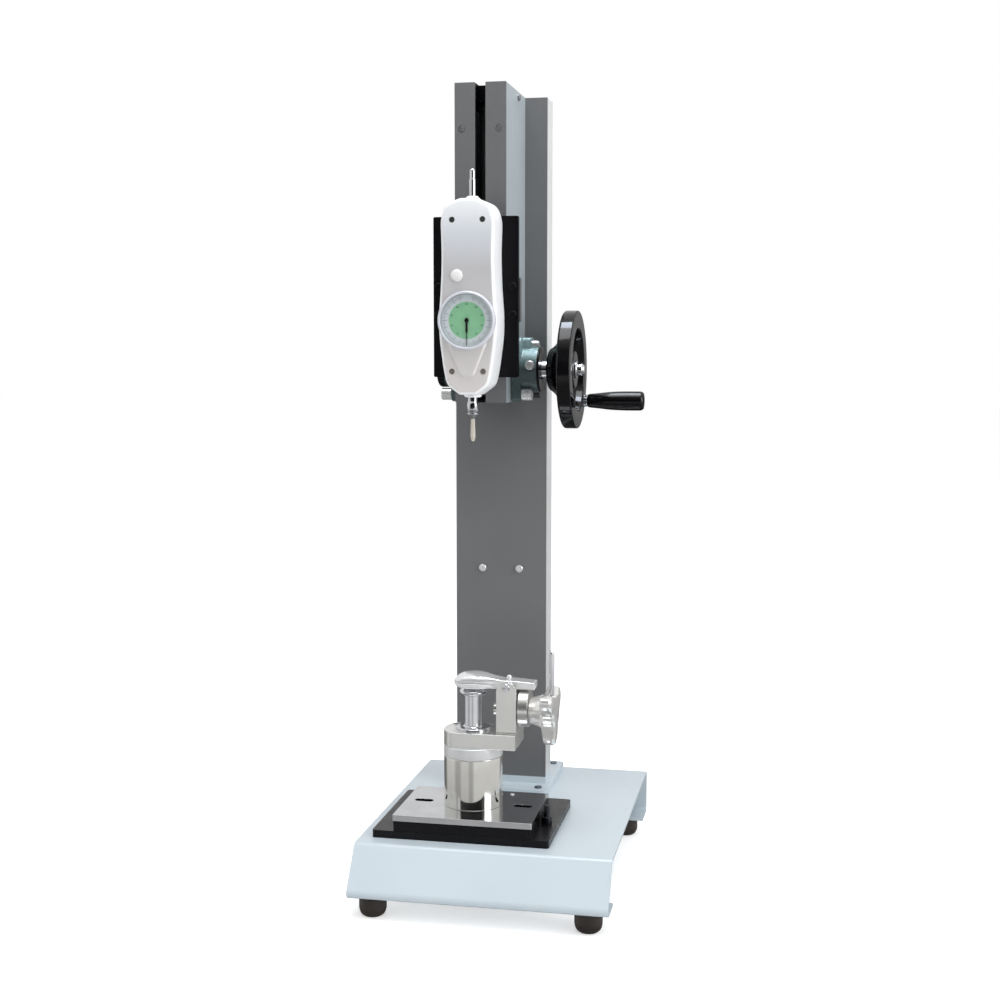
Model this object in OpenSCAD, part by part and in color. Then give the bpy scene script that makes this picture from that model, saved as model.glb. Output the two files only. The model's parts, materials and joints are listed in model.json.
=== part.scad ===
// Hand-operated force test stand with a dial force gauge above a cam clamp for small samples.
// X runs left to right seen from the front, Y from the front apron to the column, Z up from the bench.
// Pieces are drawn about the column's centre plane and the front edge of the base's top.

/* [Base channel] */
// Width of the bent base, left to right
base_w = 264; // [250:1:290]
// Depth of the flat top of the base
base_d = 322; // [318:1:350]
// Height of the flat top above the bench
base_h = 70; // [62:1:80]
// Thickness of the base sheet
sheet_t = 3; // [2:0.5:4]
// Outer radius of the bends
bend_r = 6; // [5:0.5:9]
// Height of the underside of the turned-in lips, which is the height of the rubber feet
lip_z = 21; // [18:1:24]
// Width of the turned-in lips
lip_w = 42; // [38:1:50]
// How far the front apron leans out at its foot
apron_lean = 36; // [24:1:42]
// How far the column stands left of the middle of the base
column_offset = 25; // [15:1:35]

/* [Rubber feet] */
// Radius of a foot
foot_r = 14; // [12:0.5:16]
// Distance of a foot's axis from the side of the base
foot_in_x = 22; // [18:1:28]
// Distance of a foot's axis from the front or rear end of its lip
foot_in_y = 26; // [20:1:28]

/* [Column] */
// Width of the column
column_w = 103; // [98:1:110]
// Depth of the column with its front panel
column_d = 35; // [30:1:42]
// Wall of the column
column_t = 3; // [2:0.5:4]
// Distance from the front edge of the base's top to the column's front
column_y = 222; // [218:1:226]
// Height of the top of the column and of the slide housing above the bench
stand_h = 842; // [830:1:870]
// Width of the turned-in front flanges of the column
column_lip = 14; // [10:1:18]
// Thickness of the front panel
panel_t = 2.5; // [2:0.5:3.5]
// Height of the light band left below the front panel
panel_rise = 8; // [6:1:12]
// Height of the two panel screws above the base's top
panel_screw_up = 253; // [240:1:280]
// Distance between the two panel screws
panel_screw_gap = 42; // [36:1:50]
// Width of the foot flange
flange_w = 115; // [113:1:122]
// Thickness of the foot flange
flange_t = 6; // [4:0.5:8]
// How far the foot flange reaches in front of the column
flange_front = 27; // [24:1:30]
// How far the foot flange reaches behind the column
flange_rear = 62; // [50:1:64]

/* [Slide housing] */
// Width of the slide housing
housing_w = 54; // [52:1:60]
// Depth of the slide housing in front of the column
housing_d = 108; // [104:1:114]
// Length of the slide housing
housing_len = 328.5; // [320:0.5:340]
// Wall of the slide housing
housing_t = 4; // [3:0.5:4.5]
// Width of the slot between the two front strips
slot_w = 11.2; // [10.8:0.1:13]
// Thickness of the front strips
strip_t = 3; // [2:0.5:4]
// Width of the housing's front flanges, which carry the strips
housing_lip = 15; // [13:0.5:17]

/* [Screw drive] */
// Height of the handwheel axis above the bottom of the housing
drive_up = 34; // [32:1:38]
// Distance of the lead screw axis from the front of the strips
drive_in = 47; // [45:1:50]
// Radius of the lead screw
screw_r = 8; // [7:0.5:9]
// Radius of the screw's lower journal
journal_r = 6; // [5:0.5:6.5]
// Radius of the guide rods
rod_r = 5; // [4:0.5:6]
// Distance of a guide rod from the middle plane
rod_x = 13; // [12:0.5:14]
// Distance of the guide rods behind the lead screw
rod_back = 31; // [27:1:34]
// Pitch radius of the two bevel gears
gear_r = 13.5; // [12:0.5:14]
// Number of teeth on each bevel gear
gear_teeth = 18; // [16:1:20]
// Thickness of the lower bearing block
block_t = 18; // [17:1:20]
// Radial clearance of a running fit
run_fit = 0.05; // [0.02:0.01:0.08]
// Gap round a piece that is only held in place
loose = 0.2; // [0.1:0.05:0.3]

/* [Gearbox] */
// Thickness of the two cast cheeks
cheek_t = 11; // [10:1:14]
// Depth of the cheeks, front to back
cheek_d = 66; // [62:1:72]
// Height of the cheeks
cheek_h = 68; // [66:1:74]
// Radius of the right boss
boss_r = 24.5; // [22:0.5:26]
// How far the right boss reaches from the housing
boss_len = 28; // [26:1:32]
// Radius of the left boss
left_boss_r = 19; // [17:0.5:21]
// Radius of the cross shaft in the right boss
shaft_r = 10; // [9:0.5:11]
// Radius of the cross shaft inside the housing
shaft_in_r = 7; // [6:0.5:7.5]

/* [Handwheel] */
// Radius of the handwheel
wheel_r = 62.5; // [58:0.5:66]
// Depth of the handwheel's rim
rim_t = 12; // [10:0.5:14]
// Width of the rim in the radial direction
rim_w = 18; // [17:0.5:20]
// Length of the hub behind the rim's front plane
hub_len = 33.5; // [32:0.5:37]
// Radius of the hub
hub_r = 21; // [18:0.5:22]
// Distance of the crank grip from the wheel's axis
crank_r = 50; // [49.5:0.5:52]
// Angle of the crank grip below the horizontal, towards the column
crank_angle = 43; // [20:1:70]
// Length of the crank grip
grip_len = 61; // [55:1:66]
// Radius of the grip at its outer end
grip_r = 10.5; // [9:0.5:12]

/* [Gauge carrier] */
// Width of the black gauge plate
plate_w = 89; // [88:1:96]
// Height of the gauge plate
plate_h = 163.6; // [160:0.2:170]
// Thickness of the gauge plate
plate_t = 5; // [4:0.5:6]
// Height of the gauge plate's lower edge above the bottom of the housing
plate_up = 27; // [20:1:34]
// Distance from the front strips to the front of the gauge plate
plate_out = 22.25; // [20:0.25:26]
// Thickness of the cross plate that carries the gauge plate
cross_t = 10; // [8:0.5:12]
// Height of the carriage block above the bottom of the housing
block_up = 84.5; // [84:0.5:92]
// Height of the carriage block
carriage_h = 50; // [46:1:56]

/* [Gauge] */
// Depth of the gauge body
gauge_d = 40; // [38:0.5:44]
// Distance of the measuring shaft from the back of the gauge body
shaft_back = 14.35; // [13.5:0.05:15.5]
// Wall of the gauge shells
shell_t = 2.5; // [2:0.1:2.8]
// Height of the dial centre above the lower edge of the gauge plate
dial_up = 57.4; // [54:0.2:60]
// Radius of the measuring shaft's upper part
stem_r = 3.25; // [3:0.05:3.5]
// Radius of the measuring shaft's lower part
nose_r = 5.8; // [5.4:0.1:6.2]
// How far the upper end of the shaft stands above the dial centre
stem_up = 152.2; // [146:0.2:160]
// Outer radius of the dial bezel
bezel_r = 29.6; // [28.6:0.1:29.8]
// How far the bezel stands in front of the gauge body
bezel_out = 6.25; // [6:0.05:7]
// Radius of the peak button
button_r = 6.5; // [6:0.1:7]
// Travel of the measuring shaft each way
stroke = 9; // [7:0.5:9]
// Pitch radius of the pointer pinion
pinion_r = 3; // [2.8:0.1:3.2]
// Teeth of the pointer pinion
pinion_teeth = 12; // [10:1:14]

/* [Sample clamp] */
// Width of the black fixture base plate
fixture_w = 184; // [182:1:196]
// Depth of the black fixture base plate
fixture_d = 144.5; // [140:0.5:148]
// Thickness of the black fixture base plate
fixture_t = 8; // [6:0.5:10]
// Distance of the fixture's front edges from the gauge axis
fixture_front = 58.4; // [56:0.2:60]
// Thickness of the black spacer
spacer_t = 10.6; // [9:0.2:13]
// Width of the chrome fixture plate
chrome_w = 145; // [142:1:150]
// Depth of the chrome fixture plate
chrome_d = 105.4; // [100:0.2:110]
// Thickness of the chrome fixture plate
chrome_t = 6.2; // [5:0.2:8]
// Distance of each slot from the gauge axis
slot_x = 53; // [50:0.5:56]
// Length of each slot
slot_len = 20; // [17:0.5:24]
// Width of each slot
slot_hole_w = 9; // [8:0.5:10]
// Radius of the pedestal
pedestal_r = 30.8; // [29:0.1:33]
// Height of the polished part of the pedestal
pedestal_h = 52.9; // [48:0.1:60]
// Height of the satin ring on the pedestal
ring_h = 11.5; // [8:0.1:14]
// Thickness of the clamp block
clamp_t = 15.5; // [12:0.5:18]
// Half width of the clamp block, front to back
clamp_half = 24; // [23:0.5:26]
// How far the clamp block reaches to the right of the gauge axis
clamp_right = 49; // [48:0.5:51]
// Radius of the anvil stem
anvil_r = 9.25; // [8:0.25:10]
// Height of the anvil stem above the clamp block
anvil_h = 37; // [34:0.5:40]
// Distance of the rocker pivot from the gauge axis
pivot_x = 38.2; // [37:0.2:39]
// Height of the rocker pivot above the clamp block
pivot_up = 48.5; // [46:0.5:52]
// Width of the pivot post
post_w = 21; // [19:0.5:21.5]
// Thickness of the rocker arm
arm_t = 9; // [8:0.5:10]
// Width of the rocker arm between the ears
arm_w = 19; // [16:0.5:20]
// Height of the cam shaft above the clamp block
cam_up = 22; // [21:0.5:24]
// Length of the rocker from its pivot to its tail
tail_len = 28; // [26:0.5:30]
// Drop of the cam's edge over half a turn
cam_drop = 6; // [4:0.5:7]
// Radius of the lobed knob
lobe_r = 36; // [32:1:38]
// Length of the lever rod from the cam shaft's axis
lever_len = 63; // [56:1:68]

/* [Hidden] */
$fn = 64;

paint = "#c8d4dc";
dark_paint = "#6b6b6b";
side_paint = "#b9c2c4";
casting_green = "#4d7a75";
black = "#17171a";
steel = "#c8c6c0";
satin = "#b8b5ac";
bronze = "#b08d57";
white_plastic = "#e6e8ea";

eps = 0.01;
screw_r_m6 = 3;
screw_r_m5 = 2.5;
screw_r_m4 = 2;

// Heights and depths that follow from the driving sizes
housing_y = column_y - housing_d;
housing_z = stand_h - housing_len;
drive_y = housing_y + drive_in;
drive_z = housing_z + drive_up;
gauge_plate_y = housing_y - plate_out;
gauge_plate_z = housing_z + plate_up;
gauge_front_y = gauge_plate_y - gauge_d;
gauge_y = gauge_plate_y - shaft_back;
dial_z = gauge_plate_z + dial_up;
inner_x = housing_w / 2 - housing_t;
inner_front = housing_y + strip_t + housing_t;
inner_back = column_y - housing_t;
flange_z = base_h + flange_t;
column_back = column_y + column_d;
base_left = column_offset - base_w / 2;
base_right = column_offset + base_w / 2;
boss_end = housing_w / 2 + boss_len;
cap_t = 2;
cap_end = boss_end + cap_t;
hub_back = cap_end + 6;
rim_front = hub_back + hub_len;
rim_back = rim_front - rim_t;
crank_y = drive_y + crank_r * cos(crank_angle);
crank_z = drive_z - crank_r * sin(crank_angle);
grip_start = rim_front + 5;
grip_end = grip_start + grip_len;
origin_x = (base_left + grip_end + 1.5) / 2;
origin_y = (base_d - apron_lean) / 2;

module place() {
    translate([-origin_x, -origin_y, 0]) children();
}

// Outline helpers: corner() turns one corner into an arc, rounded() does a whole outline and inset()
// moves an outline inwards, which has to run anticlockwise
function unit(v) = v / norm(v);

function corner(a, b, c, r, n) =
    let (
        u = unit(a - b),
        v = unit(c - b),
        half = acos(u * v) / 2,
        centre = b + unit(u + v) * r / sin(half),
        p = b + u * r / tan(half) - centre,
        q = b + v * r / tan(half) - centre,
        start = atan2(p[1], p[0]),
        turn = (atan2(q[1], q[0]) - start + 540) % 360 - 180
    )
    [for (i = [0 : n]) centre + r * [cos(start + turn * i / n), sin(start + turn * i / n)]];

function rounded(pts, r, n = 5) =
    let (k = len(pts))
    [for (i = [0 : k - 1]) each corner(pts[(i + k - 1) % k], pts[i], pts[(i + 1) % k], r, n)];

function inset(pts, d) =
    let (k = len(pts))
    [for (i = [0 : k - 1])
        let (
            u = unit(pts[i] - pts[(i + k - 1) % k]),
            v = unit(pts[(i + 1) % k] - pts[i]),
            p = [-u[1], u[0]],
            q = [-v[1], v[0]]
        )
        pts[i] + d * (p + q) / (1 + p * q)];

function mirrored(half) = concat(half, [for (i = [len(half) - 1 : -1 : 0]) [-half[i][0], half[i][1]]]);

function rect(a0, a1, b0, b1) = [[a0, b0], [a1, b0], [a1, b1], [a0, b1]];

// Solids between two planes along one axis
module along_x(x0, x1) {
    translate([x0, 0, 0]) rotate([90, 0, 90]) linear_extrude(x1 - x0) children();
}

module along_y(y0, y1) {
    translate([0, y1, 0]) rotate([90, 0, 0]) linear_extrude(y1 - y0) children();
}

module along_z(z0, z1) {
    translate([0, 0, z0]) linear_extrude(z1 - z0) children();
}

module block(x, y, z) {
    translate([x[0], y[0], z[0]]) cube([x[1] - x[0], y[1] - y[0], z[1] - z[0]]);
}

module rod_x(x0, x1, y, z, r) {
    translate([x0, y, z]) rotate([0, 90, 0]) cylinder(h = x1 - x0, r = r);
}

module rod_y(y0, y1, x, z, r) {
    translate([x, y0, z]) rotate([-90, 0, 0]) cylinder(h = y1 - y0, r = r);
}

module rod_z(z0, z1, x, y, r) {
    translate([x, y, z0]) cylinder(h = z1 - z0, r = r);
}

// Turned pieces: the profile gives radius and distance along the axis
module turned_x(x, y, z, profile) {
    translate([x, y, z]) rotate([0, 90, 0]) rotate_extrude() polygon(profile);
}

module turned_y(x, y, z, profile) {
    translate([x, y, z]) rotate([-90, 0, 0]) rotate_extrude() polygon(profile);
}

module turned_z(x, y, z, profile) {
    translate([x, y, z]) rotate_extrude() polygon(profile);
}

// A screw with a round head standing on the face at z = 0 and its shank below
module screw(shank_r, head_r, head_h, length) {
    rotate_extrude() polygon([
        [0, -length], [shank_r, -length], [shank_r, 0], [head_r, 0], [head_r, head_h * 0.7],
        [head_r * 0.8, head_h], [0, head_h]
    ]);
}

// Base
foot_places = [for (x = [base_left + foot_in_x, base_right - foot_in_x])
    for (y = [foot_in_y - apron_lean, base_d - foot_in_y]) [x, y]];
flange_hole_x = flange_w / 2 - 11.5;
flange_places = [for (x = [-flange_hole_x, flange_hole_x])
    for (y = [column_y - flange_front + 11, column_back + flange_rear - 10]) [x, y]];
fixture_y = gauge_y - fixture_front;
fixture_x = -2;
fixture_top = base_h + fixture_t;
fixture_screw_places = [for (x = [-60, 60]) for (y = [fixture_y + 20, fixture_y + chrome_d - 16]) [x, y]];
knob_x = fixture_x + fixture_w / 2 - 12;
lean_rate = apron_lean / (base_h - lip_z);
lean_shift = sheet_t * sqrt(1 + lean_rate * lean_rate);
base_outline = [[base_d, lip_z], [base_d, base_h], [0, base_h], [-apron_lean, lip_z]];
base_hollow = [
    [base_d - sheet_t, lip_z + sheet_t], [base_d - sheet_t, base_h - sheet_t],
    [lean_shift - lean_rate * sheet_t, base_h - sheet_t],
    [lean_shift - apron_lean + lean_rate * sheet_t, lip_z + sheet_t]
];

module base_channel() {
    color(paint) difference() {
        along_x(base_left, base_right) difference() {
            polygon(rounded(base_outline, bend_r));
            polygon(rounded(base_hollow, bend_r - sheet_t));
            polygon(rect(lip_w - apron_lean, base_d - lip_w, lip_z - 1, lip_z + sheet_t + 1));
        }
        for (p = foot_places) rod_z(lip_z - 1, lip_z + sheet_t + 1, p[0], p[1], screw_r_m6 + loose);
        for (p = concat(flange_places, fixture_screw_places))
            rod_z(base_h - sheet_t - 1, base_h + 1, p[0], p[1], screw_r_m6 + loose);
        rod_z(base_h - sheet_t - 1, base_h + 1, knob_x, gauge_y, 4 + loose);
    }
}

foot_recess = lip_z - 10;

module rubber_feet() {
    color("#2a2422") for (p = foot_places) turned_z(p[0], p[1], 0, [
        [8, 0], [foot_r - 3.5, 0], [foot_r - 1.2, 1.2], [foot_r, 4], [foot_r, lip_z - 1.5],
        [foot_r - 1.5, lip_z], [screw_r_m6 + loose, lip_z], [screw_r_m6 + loose, foot_recess], [8, foot_recess]
    ]);
}

nut_h = 5;
nut_r = 5.77;
m6_head_r = 5.2;
m6_head_h = 3.4;
sunk = 4;
flange_head_r = 4.2;
flange_head_h = 1.8;

module hex_nut(x, y, z) {
    difference() {
        translate([x, y, z]) cylinder(h = nut_h, r = nut_r, $fn = 6);
        rod_z(z - 1, z + nut_h + 1, x, y, screw_r_m6 + run_fit);
    }
}

module frame_screws() {
    color("#3b3d40") {
        for (p = foot_places) {
            translate([p[0], p[1], foot_recess]) mirror([0, 0, 1])
                screw(screw_r_m6, m6_head_r, m6_head_h, lip_z + sheet_t - foot_recess + nut_h + 2);
            hex_nut(p[0], p[1], lip_z + sheet_t);
        }
        for (p = flange_places) translate([p[0], p[1], flange_z])
            screw(screw_r_m6, flange_head_r, flange_head_h, flange_t + sheet_t + nut_h);
        for (p = fixture_screw_places) translate([p[0], p[1], fixture_top - sunk])
            screw(screw_r_m6, m6_head_r, m6_head_h, fixture_t - sunk + sheet_t + nut_h);
        for (p = concat(flange_places, fixture_screw_places)) hex_nut(p[0], p[1], base_h - sheet_t - nut_h);
    }
}

// Column
bridge_h = 24;
bridge_t = 6;
panel_screw_z = base_h + panel_screw_up;
bridge_heights = [panel_screw_z, housing_z + 46, stand_h - 42];
housing_bolt_x = 14;
panel_z = flange_z + panel_rise;
column_front = column_y + panel_t;

module column() {
    half = column_w / 2;
    color(side_paint) difference() {
        union() {
            difference() {
                block([-half, half], [column_front, column_back], [flange_z - eps, stand_h]);
                block([column_t - half, half - column_t], [column_front + column_t, column_back - column_t],
                    [flange_z - 1, stand_h - column_t]);
                block([column_lip - half, half - column_lip], [column_front - 1, column_front + column_t + 1],
                    [panel_z, stand_h - column_t]);
            }
            block([-half, half], [column_y, column_front + column_t], [flange_z - eps, panel_z]);
            for (z = bridge_heights) block([column_t - half - eps, half - column_t + eps],
                [column_front, column_front + bridge_t], [z - bridge_h / 2, z + bridge_h / 2]);
            along_z(base_h, flange_z) polygon(rounded(rect(-flange_w / 2, flange_w / 2,
                column_y - flange_front, column_back + flange_rear), 5));
        }
        for (p = flange_places) rod_z(base_h - 1, flange_z + 1, p[0], p[1], screw_r_m6 + loose);
        for (x = [-1, 1]) rod_y(column_y, column_front + bridge_t + 1, x * panel_screw_gap / 2, panel_screw_z,
            screw_r_m5);
        for (x = [-1, 1], i = [1, 2]) rod_y(column_y, column_front + bridge_t + 1, x * housing_bolt_x,
            bridge_heights[i], screw_r_m5);
    }
}

module column_panel() {
    color(dark_paint) difference() {
        block([-column_w / 2, column_w / 2], [column_y, column_front], [panel_z, stand_h]);
        for (x = [-1, 1]) rod_y(column_y - 1, column_front + 1, x * panel_screw_gap / 2, panel_screw_z,
            screw_r_m5 + loose);
        for (x = [-1, 1], i = [1, 2]) rod_y(column_y - 1, column_front + 1, x * housing_bolt_x,
            bridge_heights[i], screw_r_m5 + loose);
    }
}

// Pan-head screws: panel, housing back, front strips, top cap sides and fixture plate
strip_screw_x = housing_w / 2 - 7.3;
strip_screw_heights = [housing_z + 46, stand_h - 47];
cap_screw_z = stand_h - 6;
cap_screw_y = column_y - 41;
strip_sunk = strip_t - 1.4;
plate_screw_y = fixture_y + chrome_d - 11;
fixture_plate_z = fixture_top + spacer_t + chrome_t;
fixture_pan_x = 34.5;

module pan_screws() {
    color(steel) {
        for (x = [-1, 1]) translate([x * panel_screw_gap / 2, column_y, panel_screw_z]) rotate([90, 0, 0])
            screw(screw_r_m5, 4.2, 2.6, panel_t + bridge_t + 2);
        for (x = [-1, 1], i = [1, 2]) translate([x * housing_bolt_x, inner_back, bridge_heights[i]])
            rotate([90, 0, 0]) screw(screw_r_m5, 4.2, 2.6, housing_t + panel_t + bridge_t + 2);
        for (x = [-1, 1], z = strip_screw_heights) translate([x * strip_screw_x, housing_y + strip_sunk, z])
            rotate([90, 0, 0]) screw(screw_r_m4, 3.4, strip_sunk - 0.1, strip_t + housing_t - strip_sunk);
        for (x = [-1, 1]) translate([x * housing_w / 2, cap_screw_y, cap_screw_z]) rotate([0, x * 90, 0])
            screw(screw_r_m4, 3.6, 2.2, housing_t + 7);
        for (x = [-1, 1]) translate([x * fixture_pan_x, plate_screw_y, fixture_plate_z])
            screw(screw_r_m4, 2.2, 1, chrome_t + spacer_t + 4);
    }
}

// Slide housing
module slide_housing() {
    half = housing_w / 2;
    color(side_paint) difference() {
        block([-half, half], [housing_y + strip_t, column_y], [housing_z, stand_h]);
        block([-inner_x, inner_x], [inner_front, inner_back], [housing_z - 1, stand_h + 1]);
        block([housing_lip - half, half - housing_lip], [housing_y, inner_front + 1], [housing_z - 1, stand_h + 1]);
        for (x = [-1, 1], i = [1, 2]) rod_y(inner_back - 1, column_y + 1, x * housing_bolt_x,
            bridge_heights[i], screw_r_m5 + loose);
        for (x = [-1, 1], z = strip_screw_heights) rod_y(housing_y, inner_front + 1, x * strip_screw_x, z,
            screw_r_m4);
        rod_x(-half - 1, half + 1, cap_screw_y, cap_screw_z, screw_r_m4 + loose);
        for (p = gearbox_bolts) rod_x(-half - 1, half + 1, p[0], p[1], gearbox_bolt_r + loose);
        rod_x(0, half + 1, drive_y, drive_z, gear_r + 3);
        rod_x(-half - 1, 0, drive_y, drive_z, shaft_in_r + 2);
    }
}

module slide_strips() {
    color(dark_paint) difference() {
        for (x = [-1, 1]) block(x > 0 ? [slot_w / 2, housing_w / 2] : [-housing_w / 2, -slot_w / 2],
            [housing_y, housing_y + strip_t], [housing_z, stand_h]);
        for (x = [-1, 1], z = strip_screw_heights) {
            rod_y(housing_y - 1, housing_y + strip_t + 1, x * strip_screw_x, z, screw_r_m4 + loose);
            rod_y(housing_y - 1, housing_y + strip_sunk, x * strip_screw_x, z, 3.6);
        }
    }
}

// Caps that close the housing: the top one holds the upper bearing and the guide rods
top_cap_t = 16;
bottom_cap_t = 3;
bearing_w = 8;
top_bearing_r = 11;
lower_bearing_r = 13;
top_journal_r = 5;
cap_z = stand_h - top_cap_t;
rod_y_pos = drive_y + rod_back;
notch_depth = 14;

module housing_caps() {
    fit_x = inner_x - loose;
    color("#55585c") difference() {
        union() {
            block([-fit_x, fit_x], [inner_front + loose, inner_back - loose], [cap_z, stand_h]);
            block([-fit_x, fit_x], [inner_front + loose, inner_back - loose], [housing_z, housing_z + bottom_cap_t]);
        }
        block([-slot_w / 2, slot_w / 2], [inner_front - 1, inner_front + notch_depth], [cap_z - 1, stand_h + 1]);
        rod_z(cap_z - 1, cap_z + bearing_w, 0, drive_y, top_bearing_r);
        rod_z(cap_z - 1, cap_z + bearing_w + 3, 0, drive_y, top_journal_r + 1);
        for (x = [-1, 1]) rod_z(cap_z - 1, cap_z + 10, x * rod_x, rod_y_pos, rod_r);
        for (x = [-1, 1]) rod_x(x > 0 ? fit_x - 8 : -fit_x - 1, x > 0 ? fit_x + 1 : 8 - fit_x,
            cap_screw_y, cap_screw_z, screw_r_m4);
    }
}

block_top = drive_z + 38.4;
block_bottom = block_top - block_t;

module screw_bearings() {
    color(steel) {
        turned_z(0, drive_y, cap_z, [
            [top_journal_r + run_fit, 0], [top_bearing_r, 0], [top_bearing_r, bearing_w],
            [top_journal_r + run_fit, bearing_w]
        ]);
        turned_z(0, drive_y, block_top - bearing_w, [
            [journal_r + run_fit, 0], [lower_bearing_r, 0], [lower_bearing_r, bearing_w],
            [journal_r + run_fit, bearing_w]
        ]);
    }
}

module bearing_block() {
    fit_x = inner_x - loose;
    color("#7d8083") difference() {
        block([-fit_x, fit_x], [inner_front + loose, inner_back - loose], [block_bottom, block_top]);
        rod_z(block_bottom - 1, block_top + 1, 0, drive_y, journal_r + 2.5);
        rod_z(block_top - bearing_w, block_top + 1, 0, drive_y, lower_bearing_r);
        rod_z(block_bottom - 1, drive_z + gear_hub_end + 0.5, 0, drive_y, gear_hub_r + 1);
        for (x = [-1, 1]) rod_z(block_bottom - 1, block_top + 1, x * rod_x, rod_y_pos, rod_r);
        for (x = [-1, 1]) rod_x(x > 0 ? high_bolt_end : -fit_x - 1, x > 0 ? fit_x + 1 : -high_bolt_end,
            high_bolt[0], high_bolt[1], gearbox_bolt_r);
    }
}

module guide_rods() {
    color(steel) for (x = [-1, 1]) rod_z(block_bottom, cap_z + 10, x * rod_x, rod_y_pos, rod_r);
}

// Gearbox at the lower end of the housing
cheek_front = drive_y - 21;
cheek_back = cheek_front + cheek_d;
cheek_out = housing_w / 2 + cheek_t;
gearbox_bolt_r = 3;
low_bolt = [drive_y - 14, housing_z + 8];
high_bolt = [drive_y - 2, housing_z + cheek_h - 8];
back_bolt = [cheek_back - 9, housing_z + 9];
through_bolts = [low_bolt, back_bolt];
gearbox_bolts = concat(through_bolts, [high_bolt]);
high_bolt_end = lower_bearing_r + 3;
pad_out = housing_w / 2 + 20;
bush_r = 12;
bolt_head_r = 6.4;
bolt_head_h = 11;
lock_head_r = 5;
high_head_h = 7.5;
left_boss_end = -pad_out;
lock_x = boss_end - 6;
lock_z = drive_z + 5;

module cheek_outline() {
    polygon(rounded(rect(cheek_front, cheek_back, housing_z, housing_z + cheek_h), 7));
}

module gearbox_case() {
    color(casting_green) difference() {
        union() {
            along_x(housing_w / 2, cheek_out) cheek_outline();
            rod_x(housing_w / 2, boss_end, drive_y, drive_z, boss_r);
            along_x(housing_w / 2, pad_out) polygon(rounded(rect(high_bolt[0] - 10, high_bolt[0] + 10,
                drive_z + 8, housing_z + cheek_h), 4));
        }
        rod_x(housing_w / 2 - 1, boss_end + 1, drive_y, drive_z, bush_r);
        for (p = gearbox_bolts) rod_x(housing_w / 2 - 1, boss_end + 1, p[0], p[1], gearbox_bolt_r + loose);
        for (p = through_bolts) rod_x(cheek_out, boss_end + 1, p[0], p[1], bolt_head_r + loose);
        rod_x(pad_out, boss_end + 1, high_bolt[0], high_bolt[1], lock_head_r + loose);
        rod_y(drive_y - boss_r - 1, drive_y, lock_x, lock_z, gearbox_bolt_r);
    }
}

module gearbox_cheek() {
    color(casting_green) difference() {
        union() {
            along_x(-cheek_out, -housing_w / 2) cheek_outline();
            rod_x(left_boss_end, -housing_w / 2, drive_y, drive_z, left_boss_r);
            along_x(-pad_out, -housing_w / 2) polygon(rounded(rect(high_bolt[0] - 10, high_bolt[0] + 10,
                drive_z + 8, housing_z + cheek_h), 4));
        }
        rod_x(left_boss_end - 1, 1 - housing_w / 2, drive_y, drive_z, bush_r);
        for (p = gearbox_bolts) rod_x(left_boss_end - 20, 0, p[0], p[1], gearbox_bolt_r + loose);
    }
}

module gearbox_screws() {
    color(steel) {
        for (p = through_bolts) {
            rod_x(-cheek_out - bolt_head_h, -cheek_out, p[0], p[1], bolt_head_r);
            rod_x(-cheek_out, cheek_out, p[0], p[1], gearbox_bolt_r);
            rod_x(cheek_out, cheek_out + bolt_head_h, p[0], p[1], bolt_head_r);
        }
        for (x = [-1, 1]) translate([x * pad_out, high_bolt[0], high_bolt[1]]) rotate([0, x * 90, 0])
            screw(gearbox_bolt_r, lock_head_r, high_head_h, pad_out - high_bolt_end);
        translate([lock_x, drive_y - boss_r - 1.5, lock_z]) rotate([90, 0, 0])
            screw(gearbox_bolt_r, lock_head_r, 6, boss_r - bush_r);
    }
}

module boss_caps() {
    color(black) {
        turned_x(boss_end, drive_y, drive_z, [
            [shaft_r + 0.4, 0], [boss_r - 0.5, 0], [boss_r - 0.5, cap_t - 0.8], [boss_r - 1.3, cap_t],
            [shaft_r + 0.4, cap_t]
        ]);
        turned_x(left_boss_end - 8, drive_y, drive_z, [
            [0, 0], [left_boss_r - 2, 0], [left_boss_r, 2], [left_boss_r, 8], [bush_r, 8],
            [shaft_in_r + 1, 8], [shaft_in_r + 1, 4], [0, 4]
        ]);
    }
}

module shaft_bushes() {
    color(bronze) {
        turned_x(housing_w / 2, drive_y, drive_z, [
            [shaft_r + run_fit, 0], [bush_r, 0], [bush_r, boss_len], [shaft_r + run_fit, boss_len]
        ]);
        turned_x(left_boss_end, drive_y, drive_z, [
            [shaft_in_r + run_fit, 0], [bush_r, 0], [bush_r, -left_boss_end - housing_w / 2],
            [shaft_in_r + run_fit, -left_boss_end - housing_w / 2]
        ]);
    }
}

// Handwheel and cross shaft
gear_hub_end = 23.5;
gear_hub_r = 10.5;
nut_seat = rim_front - 3;

module wheel_shaft() {
    color(steel) turned_x(0, drive_y, drive_z, [
        [0, left_boss_end + 1], [shaft_in_r, left_boss_end + 1], [shaft_in_r, gear_hub_end],
        [shaft_r, gear_hub_end], [shaft_r, hub_back], [shaft_in_r, hub_back], [shaft_in_r, nut_seat],
        [4, nut_seat], [4, nut_seat + 8], [0, nut_seat + 8]
    ]);
}

// One bevel gear about Z with its cone's apex at the origin
gear_face = 0.66;
tooth_add = 0.95;
tooth_ded = 1.3;
tooth_pitch = 360 / gear_teeth;
root_half = 0.235 * tooth_pitch;
tip_half = 0.12 * tooth_pitch;

function cone_point(r, z, a, k) = k * [r * cos(a), r * sin(a), z];

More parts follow.
